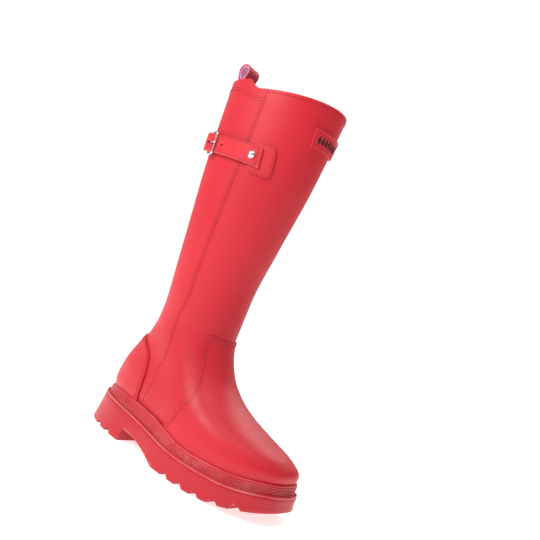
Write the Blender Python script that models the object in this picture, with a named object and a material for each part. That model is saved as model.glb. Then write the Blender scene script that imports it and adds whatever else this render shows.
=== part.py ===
"""Tall rubber rain boot for the right foot, as separate bonded, stitched and hinged pieces.

The toe points along +X, the outer side of the leg faces -Y, and the tread stands on Z = 0.
Lengths are in millimetres until a mesh is made; MM turns them into Blender's metres.
"""
import bpy
import bmesh
from math import cos, sin, pi, exp, radians
from mathutils import Vector

MM = 0.001

# Overall sizes
FOOT_LENGTH = 270.0
LEG_HEIGHT = 425.0
BALL_WIDTH = 100.0
CALF_WIDTH = 105.0
TOE_SWING = 18.0
TOE_SPRING = 15.0

# Walls, and the clearance between pieces that touch
GAP = 0.3
SHAFT_WALL = 2.0
OVERLAY_WALL = 1.6
STIFFENER_WALL = 1.0
LINING_WALL = 1.0
BAND_WALL = 4.2
BOARD_WALL = 2.0
FOOTBED_WALL = 4.5
FOOTBED_SLACK = 1.5

# Sole
SOLE_LEDGE = 9.0
HEEL_FLARE = 4.0
WELT_HEIGHT = 2.2
EDGE_BEVEL = 1.2
CUTTER_REACH = 5.0
SLOT_REACH = 12.0
HEEL_BREAST = 76.0
ARCH_END = 142.0
ARCH_RISE = 15.0
GROOVE_RADIUS = 6.0
GROOVE_CENTRE = -1.2
GROOVE_PITCH = 21.0
PLUG_LENGTH = 52.0
PLUG_WIDTH = 42.0
PLUG_DEPTH = 18.0
PLUG_SETBACK = 3.0
SHANK_START = 74.0
SHANK_LENGTH = 105.0
SHANK_WIDTH = 14.0
SHANK_WALL = 1.8

# Pull tab and loop
TAB_RISE = 15.0
TAB_SHARE = 0.74
TAB_FILLET_SHARE = 0.19
LOOP_WIDTH = 20.0
LOOP_RADIUS = 8.5
LOOP_RISE = 24.0
LOOP_WALL = 1.5
LOOP_BEAD = 1.5
LOOP_LINING_WALL = 0.7

# Strap and buckle, placed by the distance around the leg from the back centre
STRAP_LEVEL = 0.872
STRAP_SLOPE = 0.10
STRAP_WIDTH = 22.0
STRAP_WALL = 1.8
STRAP_MARGIN = 11.0
STRAP_DROP = 3.0
STRAP_TIP = 28.0
TIP_CORNER = STRAP_WIDTH / 2 - 0.8
PATCH_OFFSET = 10.0
PATCH_WIDTH = 32.0
PATCH_HEIGHT = 36.0
PATCH_CORNER = 9.0
RIVET_OFFSET = 13.506
POST_RADIUS = 1.8
CAP_RADIUS = 4.2
CAP_HEIGHT = 2.6
HINGE_BAR = 45.0
REST_BAR = 63.0
BUCKLE_CORNER = 2.5
BAR_RADIUS = 1.3
PRONG_RADIUS = 0.8
PRONG_TIP = 67.0
ANCHOR_WALL = 1.1
ANCHOR_WIDTH = 18.0
ANCHOR_END = 32.0
ANCHOR_TURN = 5.0
SPARE_HOLE = 76.0
HOLE_RADIUS = 1.7

# Front label
LABEL_LEVEL = 0.938
LABEL_WIDTH = 46.0
LABEL_HEIGHT = 20.0
LABEL_WALL = 1.5
LABEL_BORDER = 1.8
BORDER_RISE = 0.8
MARK_WIDTH = 32.0
MARK_HEIGHT = 8.0
MARK_WALL = 0.6

# Profiles of the upper. Heights are shares of the leg height, lengths of the foot length.
# up, front x, front z, back x, back z, ball share out, in, calf share, widest, front, back, waist out, in
STATIONS = (
    (0.00, 0.980, 0.104, 0.016, 0.108, 0.505, 0.495, 0.00, 0.66, 2.5, 2.7, 0.10, 0.20),
    (0.05, 0.990, 0.127, 0.003, 0.141, 0.525, 0.515, 0.00, 0.66, 2.4, 2.7, 0.10, 0.19),
    (0.11, 0.963, 0.151, 0.009, 0.184, 0.505, 0.495, 0.00, 0.64, 2.2, 2.6, 0.08, 0.15),
    (0.17, 0.862, 0.168, 0.033, 0.231, 0.450, 0.435, 0.01, 0.60, 2.1, 2.5, 0.05, 0.08),
    (0.26, 0.715, 0.198, 0.070, 0.280, 0.270, 0.255, 0.15, 0.54, 2.0, 2.3, 0.02, 0.03),
    (0.36, 0.587, 0.250, 0.102, 0.341, 0.105, 0.095, 0.29, 0.50, 2.0, 2.2, 0.00, 0.00),
    (0.46, 0.498, 0.361, 0.108, 0.405, 0.000, 0.000, 0.38, 0.48, 2.0, 2.1, 0.00, 0.00),
    (0.58, 0.495, 0.485, 0.095, 0.485, 0.000, 0.000, 0.40, 0.48, 2.0, 2.1, 0.00, 0.00),
    (0.72, 0.524, 0.642, 0.066, 0.631, 0.000, 0.000, 0.44, 0.49, 2.0, 2.1, 0.00, 0.00),
    (0.86, 0.568, 0.828, 0.027, 0.816, 0.000, 0.000, 0.475, 0.50, 2.0, 2.1, 0.00, 0.00),
    (1.00, 0.594, 1.026, 0.008, 1.000, 0.000, 0.000, 0.50, 0.50, 2.0, 2.1, 0.00, 0.00),
)
# Heights along the sole, by share of the foot length: feather line, ledge and tread
FEATHER_LINE = ((0.0, 45.0), (0.2, 49.0), (0.4, 46.0), (0.65, 36.0), (0.82, 38.0), (1.0, 45.0))
LEDGE_LINE = ((0.0, 35.0), (0.2, 34.0), (0.4, 29.0), (0.65, 23.0), (0.82, 24.0), (1.0, 31.0))
# Angles around the upper, in degrees from the back, by height share
COUNTER_EDGE = ((0.0, 60.5), (0.12, 60.5), (0.2, 59.0), (0.24, 54.0), (0.26, 43.0), (0.4, 38.0), (1.0, 30.0))
SIDE_SEAM = ((0.0, 63.5), (0.155, 68.0), (0.39, 88.0), (0.57, 98.0), (1.0, 97.0))
VAMP_EDGE = (
    (0.0, 80.0), (0.138, 87.0), (0.27, 114.5), (0.344, 128.0), (0.39, 134.0), (0.46, 138.0), (1.0, 146.0),
)
LEVELS = (0.0, 0.05, 0.10, 0.155, 0.21, 0.26, 0.31, 0.36, 0.41, 0.46, 0.53, 0.62, 0.72, 0.83, 0.95, 1.0)
COUNTER_TOP = 5
PUFF_TOP = 4
VAMP_TOP = 9
COLLAR_ROW = 14
COLUMN_COUNTS = (6, 6, 1, 4, 8)


def curve_through(points):
    """A smooth monotone curve through the points, as a function of x."""
    xs = [p[0] for p in points]
    ys = [p[1] for p in points]
    steps = [xs[i + 1] - xs[i] for i in range(len(xs) - 1)]
    rates = [(ys[i + 1] - ys[i]) / steps[i] for i in range(len(steps))]
    slopes = [rates[0]]
    for i in range(1, len(rates)):
        if rates[i - 1] * rates[i] <= 0.0:
            slopes.append(0.0)
            continue
        before = 2 * steps[i] + steps[i - 1]
        after = steps[i] + 2 * steps[i - 1]
        slopes.append((before + after) / (before / rates[i - 1] + after / rates[i]))
    slopes.append(rates[-1])

    def value(x):
        x = min(max(x, xs[0]), xs[-1])
        i = 0
        while i < len(steps) - 1 and x > xs[i + 1]:
            i += 1
        t = (x - xs[i]) / steps[i]
        start = ys[i] * (1 + 2 * t) * (1 - t) ** 2 + slopes[i] * steps[i] * t * (1 - t) ** 2
        end = ys[i + 1] * t * t * (3 - 2 * t) + slopes[i + 1] * steps[i] * t * t * (t - 1)
        return start + end

    return value


station_curves = [curve_through([(row[0], row[k]) for row in STATIONS]) for k in range(1, 13)]
feather_curve = curve_through(FEATHER_LINE)
ledge_curve = curve_through(LEDGE_LINE)


def feather(x):
    return feather_curve(x / FOOT_LENGTH)


def ledge(x):
    return ledge_curve(x / FOOT_LENGTH)


def tread(x):
    return TOE_SPRING * max(0.0, x / FOOT_LENGTH - 0.7) ** 2 / 0.09


def power(value, exponent):
    return abs(value) ** exponent


def upper_point(up, angle):
    """Point on the outer face of the leg and foot; angle 0 is the back, 90 degrees the outer side."""
    (front_x, front_z, back_x, back_z, ball_out, ball_in, calf, widest, front_power, back_power,
     waist_out, waist_in) = [curve(up) for curve in station_curves]
    c = cos(angle)
    s = sin(angle)
    if c < 0:
        along = widest + (1 - widest) * power(c, 2 / front_power)
        across = power(s, 2 / front_power)
    else:
        along = widest - widest * power(c, 2 / back_power)
        across = power(s, 2 / back_power)
    if s > 0:
        half = -(ball_out * BALL_WIDTH + calf * CALF_WIDTH)
        waist = waist_out
    else:
        half = ball_in * BALL_WIDTH + calf * CALF_WIDTH
        waist = waist_in
    x = (back_x + (front_x - back_x) * along) * FOOT_LENGTH
    y = half * across * (1 - waist * exp(-((along - 0.36) / 0.16) ** 2))
    z = (back_z + (front_z - back_z) * along) * LEG_HEIGHT
    ground = (STATIONS[0][4] + (STATIONS[0][2] - STATIONS[0][4]) * along) * LEG_HEIGHT
    z += (feather(x) - ground) * max(0.0, 1 - up / 0.3) ** 2
    swing = max(0.0, (x / FOOT_LENGTH - 0.35) / 0.65) ** 2
    y += TOE_SWING * swing * max(0.0, 1 - up / 0.4)
    return Vector((x, y, z))


def upper_normal(up, angle):
    low = max(0.0, up - 0.004)
    high = min(1.0, up + 0.004)
    around = upper_point(up, angle + 0.01) - upper_point(up, angle - 0.01)
    rise = upper_point(high, angle) - upper_point(low, angle)
    return around.cross(rise).normalized()


def skirt_normal(angle):
    around = upper_point(0.0, angle + 0.01) - upper_point(0.0, angle - 0.01)
    return Vector((around.y, -around.x, 0.0)).normalized()


def column_angles(up):
    """Angles of the shared columns at one height: back, counter edge, side seam, vamp edge, front."""
    counter = radians(curve_through(COUNTER_EDGE)(up))
    seam = radians(curve_through(SIDE_SEAM)(up))
    vamp = radians(curve_through(VAMP_EDGE)(up))
    rate = (upper_point(up, seam + 0.01) - upper_point(up, seam - 0.01)).length / 0.02
    half_gap = GAP / 2 / rate
    guides = (0.0, counter, seam - half_gap, seam + half_gap, vamp, pi)
    half = [0.0]
    for k, count in enumerate(COLUMN_COUNTS):
        for step in range(1, count + 1):
            half.append(guides[k] + (guides[k + 1] - guides[k]) * step / count)
    return half + [2 * pi - angle for angle in half[-2:0:-1]]


angles = [column_angles(up) for up in LEVELS]
AROUND = len(angles[0])
FRONT = AROUND // 2
COUNTER = COLUMN_COUNTS[0]
SEAM_BACK = COUNTER + COLUMN_COUNTS[1]
SEAM_FRONT = SEAM_BACK + 1
VAMP = SEAM_FRONT + COLUMN_COUNTS[3]


def sole_ring(grow, height):
    """Outline of the upper's foot grown sideways, at the height that height(x) gives."""
    ring = []
    for angle in angles[0]:
        point = upper_point(0.0, angle) + skirt_normal(angle) * grow(upper_point(0.0, angle).x)
        ring.append(Vector((point.x, point.y, height(point.x))))
    return ring


def flare(x):
    heel = max(0.0, min(1.0, (0.45 - x / FOOT_LENGTH) / 0.2))
    return SOLE_LEDGE + 1.0 + (HEEL_FLARE - 1.0) * heel


outline = sole_ring(flare, tread)
CENTRE = Vector((
    (max(p.x for p in outline) + min(p.x for p in outline)) / 2,
    (max(p.y for p in outline) + min(p.y for p in outline)) / 2,
    0.0,
))


def skin_row(level, depth):
    """One row of points around the upper, at a depth outward from its face."""
    up = LEVELS[level]
    return [upper_point(up, a) + upper_normal(up, a) * depth for a in angles[level]]


def skirt_row(depth, lift):
    """The upper's lowest row, a lift above the sole's ledge."""
    row = []
    for angle in angles[0]:
        point = upper_point(0.0, angle) + skirt_normal(angle) * depth
        row.append(Vector((point.x, point.y, ledge(point.x) + lift)))
    return row


def skin_rows(depth, first, last, lift=None):
    rows = [skin_row(level, depth(level)) for level in range(first, last + 1)]
    if lift is not None:
        rows.insert(0, skirt_row(depth(0), lift))
    return rows


def material(name, colour, roughness, metallic=0.0):
    made = bpy.data.materials.new(name)
    made.use_nodes = True
    shader = made.node_tree.nodes["Principled BSDF"]
    shader.inputs["Base Color"].default_value = (*colour, 1.0)
    shader.inputs["Roughness"].default_value = roughness
    shader.inputs["Metallic"].default_value = metallic
    return made


RED = (0.62, 0.035, 0.05)
DEEP_RED = (0.45, 0.02, 0.035)
LILAC = (0.52, 0.19, 0.37)
STEEL = (0.70, 0.70, 0.72)
CREAM = (0.75, 0.68, 0.58)
DARK = (0.045, 0.003, 0.006)


def finish(name, mesh, colour, roughness, metallic=0.0, origin=None):
    """Turn a bmesh drawn in millimetres into a named object with its own material."""
    bmesh.ops.recalc_face_normals(mesh, faces=mesh.faces[:])
    start = origin if origin is not None else CENTRE
    for vertex in mesh.verts:
        vertex.co = (vertex.co - start) * MM
    data = bpy.data.meshes.new(name)
    mesh.to_mesh(data)
    mesh.free()
    data.materials.append(material(name, colour, roughness, metallic))
    made = bpy.data.objects.new(name, data)
    made.location = (start - CENTRE) * MM
    bpy.context.collection.objects.link(made)
    return made


def add_rows(mesh, rows):
    return [[mesh.verts.new(point) for point in row] for row in rows]


def skin_grid(mesh, grid, around):
    for lower, upper in zip(grid, grid[1:]):
        count = len(lower)
        for j in range(count if around else count - 1):
            k = (j + 1) % count
            mesh.faces.new((lower[j], lower[k], upper[k], upper[j]))


def join_edges(mesh, first, second, around):
    count = len(first)
    for j in range(count if around else count - 1):
        k = (j + 1) % count
        mesh.faces.new((first[j], first[k], second[k], second[j]))


def close_ring(mesh, ring):
    """Fill a ring with strips that run straight across from one side to the other."""
    count = len(ring)
    for j in range(count // 2):
        corners = [ring[j], ring[j + 1], ring[-j - 1], ring[-j]]
        if j == 0:
            corners = [ring[0], ring[1], ring[-1]]
        if j == count // 2 - 1:
            corners = [ring[j], ring[j + 1], ring[j + 2]]
        mesh.faces.new(corners)


def wall(outer_rows, inner_rows, around):
    """Closed body between two matching sheets of points."""
    mesh = bmesh.new()
    outer = add_rows(mesh, outer_rows)
    inner = add_rows(mesh, inner_rows)
    skin_grid(mesh, outer, around)
    skin_grid(mesh, inner, around)
    join_edges(mesh, outer[0], inner[0], around)
    join_edges(mesh, outer[-1], inner[-1], around)
    if not around:
        for side in (0, -1):
            join_edges(mesh, [row[side] for row in outer], [row[side] for row in inner], False)
    return mesh


def loft(rings):
    """Closed body through a stack of rings."""
    mesh = bmesh.new()
    grid = add_rows(mesh, rings)
    skin_grid(mesh, grid, True)
    close_ring(mesh, grid[0])
    close_ring(mesh, grid[-1])
    return mesh


def fan_loft(rings):
    """Closed body through a stack of rings whose ends are flat."""
    mesh = bmesh.new()
    grid = add_rows(mesh, rings)
    skin_grid(mesh, grid, True)
    mesh.faces.new(grid[0])
    mesh.faces.new(grid[-1])
    return mesh


def cut(target, cutter_mesh, label):
    """Subtract a body from an object, leaving the cutter hidden."""
    cutter = finish(label, cutter_mesh, DARK, 0.5)
    cutter.hide_render = True
    cutter.display_type = "WIRE"
    modifier = target.modifiers.new(label, "BOOLEAN")
    modifier.operation = "DIFFERENCE"
    modifier.solver = "EXACT"
    modifier.object = cutter


def cylinder_rings(start, end, radius, steps):
    axis = (end - start).normalized()
    side = axis.orthogonal().normalized()
    other = axis.cross(side)
    turns = [2 * pi * k / steps for k in range(steps)]
    spokes = [(side * cos(t) + other * sin(t)) * radius for t in turns]
    return [[start + spoke for spoke in spokes], [end + spoke for spoke in spokes]]


# ---------------------------------------------------------------- sole

def steady(value):
    return lambda x: value


def shifted(line, offset):
    return lambda x: line(x) + offset


def add_prism(mesh, profile, half_width):
    """An XZ outline extruded across the boot."""
    sides = []
    for y in (-half_width, half_width):
        sides.append([mesh.verts.new((x, y, z)) for x, z in profile])
    join_edges(mesh, sides[0], sides[1], True)
    mesh.faces.new(sides[0])
    mesh.faces.new(sides[1])


def arch_profile():
    span = ARCH_END - HEEL_BREAST
    points = [(HEEL_BREAST, -CUTTER_REACH)]
    for k in range(9):
        share = k / 8
        points.append((HEEL_BREAST + 2.0 + (span - 2.0) * share, ARCH_RISE * (1 - share ** 2.2)))
    points.append((ARCH_END + 3.0, -CUTTER_REACH))
    return points


def groove_places():
    heel = [HEEL_BREAST - GROOVE_PITCH * (k + 1) for k in range(2)]
    fore = []
    x = ARCH_END + GROOVE_PITCH
    while x < FOOT_LENGTH - GROOVE_RADIUS:
        fore.append(x)
        x += GROOVE_PITCH
    return heel + fore


def groove_cutter():
    mesh = bmesh.new()
    add_prism(mesh, arch_profile(), BALL_WIDTH)
    for place in groove_places():
        low = tread(place) + GROOVE_CENTRE
        profile = []
        for k in range(10):
            turn = 2 * pi * (k + 0.5) / 10
            profile.append((place + GROOVE_RADIUS * cos(turn), low + GROOVE_RADIUS * sin(turn)))
        add_prism(mesh, profile, BALL_WIDTH)
    return mesh


def plug_rings(grow, bottom, top):
    """A rounded heel plug, centred under the heel bone."""
    centre = upper_point(0.0, 0.0).x + PLUG_LENGTH / 2 + SOLE_LEDGE + PLUG_SETBACK
    rings = []
    for height in (bottom, top):
        ring = []
        for k in range(20):
            turn = 2 * pi * k / 20
            x = centre - (PLUG_LENGTH / 2 + grow) * cos(turn)
            ring.append(Vector((x, (PLUG_WIDTH / 2 + grow) * sin(turn), height(x))))
        rings.append(ring)
    return rings


def strip_rings(start, end, half_width, low, high):
    """A curved strip along the sole between two height lines."""
    rings = []
    for k in range(11):
        x = start + (end - start) * k / 10
        rings.append([Vector((x, y, z)) for y, z in (
            (-half_width, low(x)), (half_width, low(x)), (half_width, high(x)), (-half_width, high(x)))])
    return rings


def make_outsole():
    rings = [
        sole_ring(shifted(flare, -EDGE_BEVEL), tread),
        sole_ring(flare, shifted(tread, EDGE_BEVEL)),
        sole_ring(steady(SOLE_LEDGE), shifted(ledge, -EDGE_BEVEL)),
        sole_ring(steady(SOLE_LEDGE - EDGE_BEVEL), ledge),
    ]
    made = finish("outsole", loft(rings), DEEP_RED, 0.55)
    cut(made, groove_cutter(), "cutter_tread")
    plug = plug_rings(GAP, shifted(ledge, -PLUG_DEPTH - GAP), shifted(ledge, CUTTER_REACH))
    cut(made, fan_loft(plug), "cutter_plug")
    channel = strip_rings(SHANK_START - GAP, SHANK_START + SHANK_LENGTH + GAP, SHANK_WIDTH / 2 + GAP,
                          shifted(ledge, -SHANK_WALL - 2 * GAP), shifted(ledge, CUTTER_REACH))
    cut(made, fan_loft(channel), "cutter_shank")


def make_sole_core():
    plug = plug_rings(0.0, shifted(ledge, -PLUG_DEPTH), shifted(ledge, -2 * GAP))
    finish("heel_filler", fan_loft(plug), CREAM, 0.8)
    shank = strip_rings(SHANK_START, SHANK_START + SHANK_LENGTH, SHANK_WIDTH / 2,
                        shifted(ledge, -SHANK_WALL - GAP), shifted(ledge, -GAP))
    finish("shank", fan_loft(shank), STEEL, 0.35, 1.0)
    inset = steady(-SHAFT_WALL - GAP)
    board = [sole_ring(inset, shifted(ledge, GAP)), sole_ring(inset, shifted(ledge, GAP + BOARD_WALL))]
    finish("insole_board", loft(board), CREAM, 0.85)


def make_band():
    inner = steady(GAP)
    outer = steady(GAP + BAND_WALL)
    heights = (shifted(ledge, GAP), feather)
    mesh = wall([sole_ring(outer, line) for line in heights],
                [sole_ring(inner, line) for line in heights], True)
    finish("midsole_band", mesh, RED, 0.5)
    inner = steady(BAND_WALL + 2 * GAP)
    outer = steady(SOLE_LEDGE - EDGE_BEVEL)
    heights = (shifted(ledge, GAP), shifted(ledge, GAP + WELT_HEIGHT))
    mesh = wall([sole_ring(outer, line) for line in heights],
                [sole_ring(inner, line) for line in heights], True)
    finish("welt", mesh, RED, 0.5)


# ---------------------------------------------------------------- lining and inner pieces

STIFFENER_DEPTH = -SHAFT_WALL - GAP
FOOT_LINING_DEPTH = STIFFENER_DEPTH - STIFFENER_WALL - GAP
BOARD_TOP = BOARD_WALL + 2 * GAP


def lining_depth(level):
    share = min(1.0, max(0.0, (LEVELS[level] - LEVELS[VAMP_TOP - 3]) / 0.2))
    return FOOT_LINING_DEPTH + (STIFFENER_DEPTH - FOOT_LINING_DEPTH) * share


def make_lining():
    outer = skin_rows(lining_depth, 0, COLLAR_ROW, BOARD_TOP)
    inner = skin_rows(lambda level: lining_depth(level) - LINING_WALL, 0, COLLAR_ROW,
                      BOARD_TOP + LINING_WALL)
    for rows in (outer, inner):
        for point in rows[-1]:
            point.z -= GAP
    mesh = bmesh.new()
    outside = add_rows(mesh, outer)
    inside = add_rows(mesh, inner)
    skin_grid(mesh, outside, True)
    skin_grid(mesh, inside, True)
    close_ring(mesh, outside[0])
    close_ring(mesh, inside[0])
    join_edges(mesh, outside[-1], inside[-1], True)
    finish("lining_sock", mesh, DEEP_RED, 0.9)
    depth = STIFFENER_DEPTH
    mesh = wall(skin_rows(steady(depth), COLLAR_ROW, len(LEVELS) - 1),
                skin_rows(steady(depth - LINING_WALL), COLLAR_ROW, len(LEVELS) - 1), True)
    finish("collar_binding", mesh, DEEP_RED, 0.8)


def part_of(rows, first, last):
    """The columns from first to last; a first below zero wraps past the back."""
    count = len(rows[0])
    return [[row[k % count] for k in range(first, last + 1)] for row in rows]


def make_panel(name, first, last, depths, levels, lift, colour, roughness):
    outer = skin_rows(steady(depths[0]), levels[0], levels[1], lift)
    inner = skin_rows(steady(depths[1]), levels[0], levels[1], lift)
    mesh = wall(part_of(outer, first, last), part_of(inner, first, last), False)
    finish(name, mesh, colour, roughness)


def make_stiffeners():
    depths = (STIFFENER_DEPTH, STIFFENER_DEPTH - STIFFENER_WALL)
    make_panel("toe_puff", VAMP + 2, AROUND - VAMP - 2, depths, (0, PUFF_TOP), BOARD_TOP, CREAM, 0.8)
    make_panel("counter_stiffener", -COUNTER, COUNTER, depths, (0, COUNTER_TOP - 1), BOARD_TOP, CREAM, 0.8)


def make_footbed():
    inset = FOOT_LINING_DEPTH - LINING_WALL - FOOTBED_SLACK
    low = BOARD_TOP + LINING_WALL + GAP
    rings = [
        sole_ring(steady(inset - EDGE_BEVEL), shifted(ledge, low)),
        sole_ring(steady(inset), shifted(ledge, low + EDGE_BEVEL)),
        sole_ring(steady(inset), shifted(ledge, low + FOOTBED_WALL)),
    ]
    pivot = rings[0][FRONT].copy()
    finish("footbed", loft(rings), DEEP_RED, 0.9, 0.0, Vector((pivot.x, CENTRE.y, pivot.z)))


# ---------------------------------------------------------------- upper

def tab_share(place):
    """1 over the raised back of the rim, falling to 0 in a concave fillet before the side seam."""
    fall = (place - TAB_SHARE) / TAB_FILLET_SHARE
    return max(0.0, 1 - max(0.0, fall)) ** 2


def raise_tab(rows):
    """Lengthen the wall across the back, along its own slope, up to a level top."""
    rim = rows[-1]
    flat = [point.copy() for point in rim]
    travelled = [0.0]
    for k in range(SEAM_BACK):
        travelled.append(travelled[-1] + (flat[k + 1] - flat[k]).length)
    for k in range(SEAM_BACK + 1):
        share = tab_share(travelled[k] / travelled[-1])
        for place in {k, -k % AROUND}:
            slope = (flat[place] - rows[-2][place]).normalized()
            rim[place] += slope * (TAB_RISE + flat[0].z - flat[place].z) * share


def make_shaft():
    last = len(LEVELS) - 1
    front = (SEAM_FRONT, AROUND - SEAM_FRONT)
    make_panel("shaft_front", *front, (0.0, -SHAFT_WALL), (0, last), GAP, RED, 0.42)
    outer = skin_rows(steady(0.0), 0, last, GAP)
    inner = skin_rows(steady(-SHAFT_WALL), 0, last, GAP)
    raise_tab(outer)
    raise_tab(inner)
    mesh = wall(part_of(outer, -SEAM_BACK, SEAM_BACK), part_of(inner, -SEAM_BACK, SEAM_BACK), False)
    finish("shaft_back", mesh, RED, 0.42)


def make_overlays():
    pieces = (("vamp", VAMP, AROUND - VAMP, VAMP_TOP), ("heel_counter", -COUNTER, COUNTER, COUNTER_TOP))
    for name, first, last, top in pieces:
        outer = skin_rows(steady(GAP + OVERLAY_WALL), 1, top)
        inner = skin_rows(steady(GAP), 1, top)
        outer.insert(0, sole_ring(steady(GAP + OVERLAY_WALL), shifted(feather, GAP)))
        inner.insert(0, sole_ring(steady(GAP), shifted(feather, GAP)))
        mesh = wall(part_of(outer, first, last), part_of(inner, first, last), False)
        finish(name, mesh, RED, 0.42)


# ---------------------------------------------------------------- pull loop

def loop_centre():
    top = upper_point(1.0, 0.0)
    return Vector((top.x + SHAFT_WALL / 2, top.y, top.z + TAB_RISE + GAP + LOOP_BEAD))


def teardrop(shrink):
    """Outline of the loop in the XZ plane: a round top over a narrow foot."""
    centre = loop_centre()
    radius = LOOP_RADIUS - shrink
    foot = LOOP_BEAD if shrink == 0 else LOOP_BEAD + shrink * 2.4
    points = []
    for k in range(17):
        turn = radians(-25 + 230 * k / 16)
        points.append((centre.x + radius * cos(turn), centre.z + LOOP_RISE + radius * sin(turn)))
    low = centre.z if shrink == 0 else centre.z + foot
    half = LOOP_BEAD if shrink == 0 else 0.5
    bottom = -LOOP_BEAD if shrink == 0 else 0.0
    points += [(centre.x - half, low), (centre.x, low + bottom), (centre.x + half, low)]
    return points


def make_loop(name, outside, inside, half_width, colour):
    mesh = bmesh.new()
    sheets = []
    for outline_points in (teardrop(outside), teardrop(inside)):
        sheets.append([[Vector((x, y, z)) for x, z in outline_points] for y in (-half_width, half_width)])
    outer = add_rows(mesh, sheets[0])
    inner = add_rows(mesh, sheets[1])
    skin_grid(mesh, outer, True)
    skin_grid(mesh, inner, True)
    for side in (0, 1):
        join_edges(mesh, outer[side], inner[side], True)
    finish(name, mesh, colour, 0.6, 0.0, loop_centre())


def make_pull_loop():
    make_loop("pull_loop", 0.0, LOOP_WALL, LOOP_WIDTH / 2, DEEP_RED)
    start = LOOP_WALL + GAP
    make_loop("pull_loop_lining", start, start + LOOP_LINING_WALL, LOOP_WIDTH / 2 - 0.5, LILAC)


# ---------------------------------------------------------------- places on the leg

ARC_STEPS = 240
arc_tables = {}


def arc_table(up):
    """Distances around the outer half of the leg, from the back centre."""
    key = round(up, 5)
    if key not in arc_tables:
        points = [upper_point(key, pi * k / ARC_STEPS) for k in range(ARC_STEPS + 1)]
        total = [0.0]
        for k in range(ARC_STEPS):
            total.append(total[-1] + (points[k + 1] - points[k]).length)
        arc_tables[key] = total
    return arc_tables[key]


def arc_angle(up, distance):
    table = arc_table(up)
    k = 0
    while k < ARC_STEPS - 1 and table[k + 1] < distance:
        k += 1
    return pi * (k + (distance - table[k]) / (table[k + 1] - table[k])) / ARC_STEPS


def leg_point(level, distance, height, depth):
    """Point near the leg: distance around from the back, height above the level, depth outward."""
    rise = (upper_point(level + 0.01, pi / 2) - upper_point(level - 0.01, pi / 2)).length / 0.02
    up = level + height / rise
    if distance < 0:
        angle = -arc_angle(up, -distance)
    else:
        angle = arc_angle(up, distance)
    return upper_point(up, angle) + upper_normal(up, angle) * depth


def seam_distance(up):
    """Distance from the back centre to the side seam."""
    place = radians(curve_through(SIDE_SEAM)(up)) / pi * ARC_STEPS
    k = int(place)
    table = arc_table(up)
    return table[k] + (table[k + 1] - table[k]) * (place - k)


RIVET_PLACE = seam_distance(STRAP_LEVEL) + RIVET_OFFSET
PATCH_CENTRE = RIVET_PLACE + PATCH_OFFSET
STRAP_FRONT = RIVET_PLACE + STRAP_MARGIN


def strap_point(distance, height, depth):
    return leg_point(STRAP_LEVEL, distance, height + (RIVET_PLACE - distance) * STRAP_SLOPE, depth)


def label_point(distance, height, depth):
    """Point near the front centre; distance runs to the outer side."""
    half = arc_table(LABEL_LEVEL)[-1]
    point = leg_point(LABEL_LEVEL, half - abs(distance), height, depth)
    if distance < 0:
        point.y = -point.y
    return point


PATCH_DEPTH = GAP
STRAP_DEPTH = PATCH_DEPTH + OVERLAY_WALL + GAP
EYE_RADIUS = BAR_RADIUS + GAP + 2 * PRONG_RADIUS
HINGE_DEPTH = EYE_RADIUS + GAP
STRAP_OVER = HINGE_DEPTH + EYE_RADIUS + GAP
REST_DEPTH = STRAP_DEPTH + STRAP_WALL + GAP + BAR_RADIUS


def rounded_width(distance, start, end, half, corner):
    """Half height of a strip with rounded ends, at a distance along it."""
    near = min(distance - start, end - distance)
    if near >= corner:
        return half
    return half - corner + (max(0.0, corner ** 2 - (corner - near) ** 2)) ** 0.5


def leg_sheet(place, distances, half_heights, low, high):
    """Closed strip that follows the leg, its two faces at depths that vary along it."""
    shares = (-1.0, -0.5, 0.0, 0.5, 1.0)
    outer = []
    inner = []
    for distance, half in zip(distances, half_heights):
        outer.append([place(distance, half * share, high(distance)) for share in shares])
        inner.append([place(distance, half * share, low(distance)) for share in shares])
    return wall(outer, inner, False)


def spread(start, end, step):
    count = max(1, round(abs(end - start) / step))
    return [start + (end - start) * k / count for k in range(count + 1)]


def eased_ends(start, end, corner, step):
    """Distances along a strip, closer together where its corners are rounded."""
    shares = (0.0, 0.1, 0.3, 0.6)
    near = [start + corner * share for share in shares]
    far = [end - corner * share for share in reversed(shares)]
    return near + spread(start + corner, end - corner, step) + far


strap_lift = curve_through((
    (STRAP_TIP, STRAP_OVER - STRAP_DROP), (HINGE_BAR - 6.0, STRAP_OVER),
    (HINGE_BAR + EYE_RADIUS - 1.0, STRAP_OVER),
    (REST_BAR - BAR_RADIUS - 1.0, STRAP_DEPTH), (STRAP_FRONT, STRAP_DEPTH)))


def hole_rings(distance, radius, low, high):
    start = strap_point(distance, 0.0, low)
    return cylinder_rings(start, strap_point(distance, 0.0, high), radius, 14)


def cut_rivet_hole(target, low, high, label):
    cut(target, fan_loft(hole_rings(RIVET_PLACE, POST_RADIUS + GAP, low, high)), label)


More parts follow.
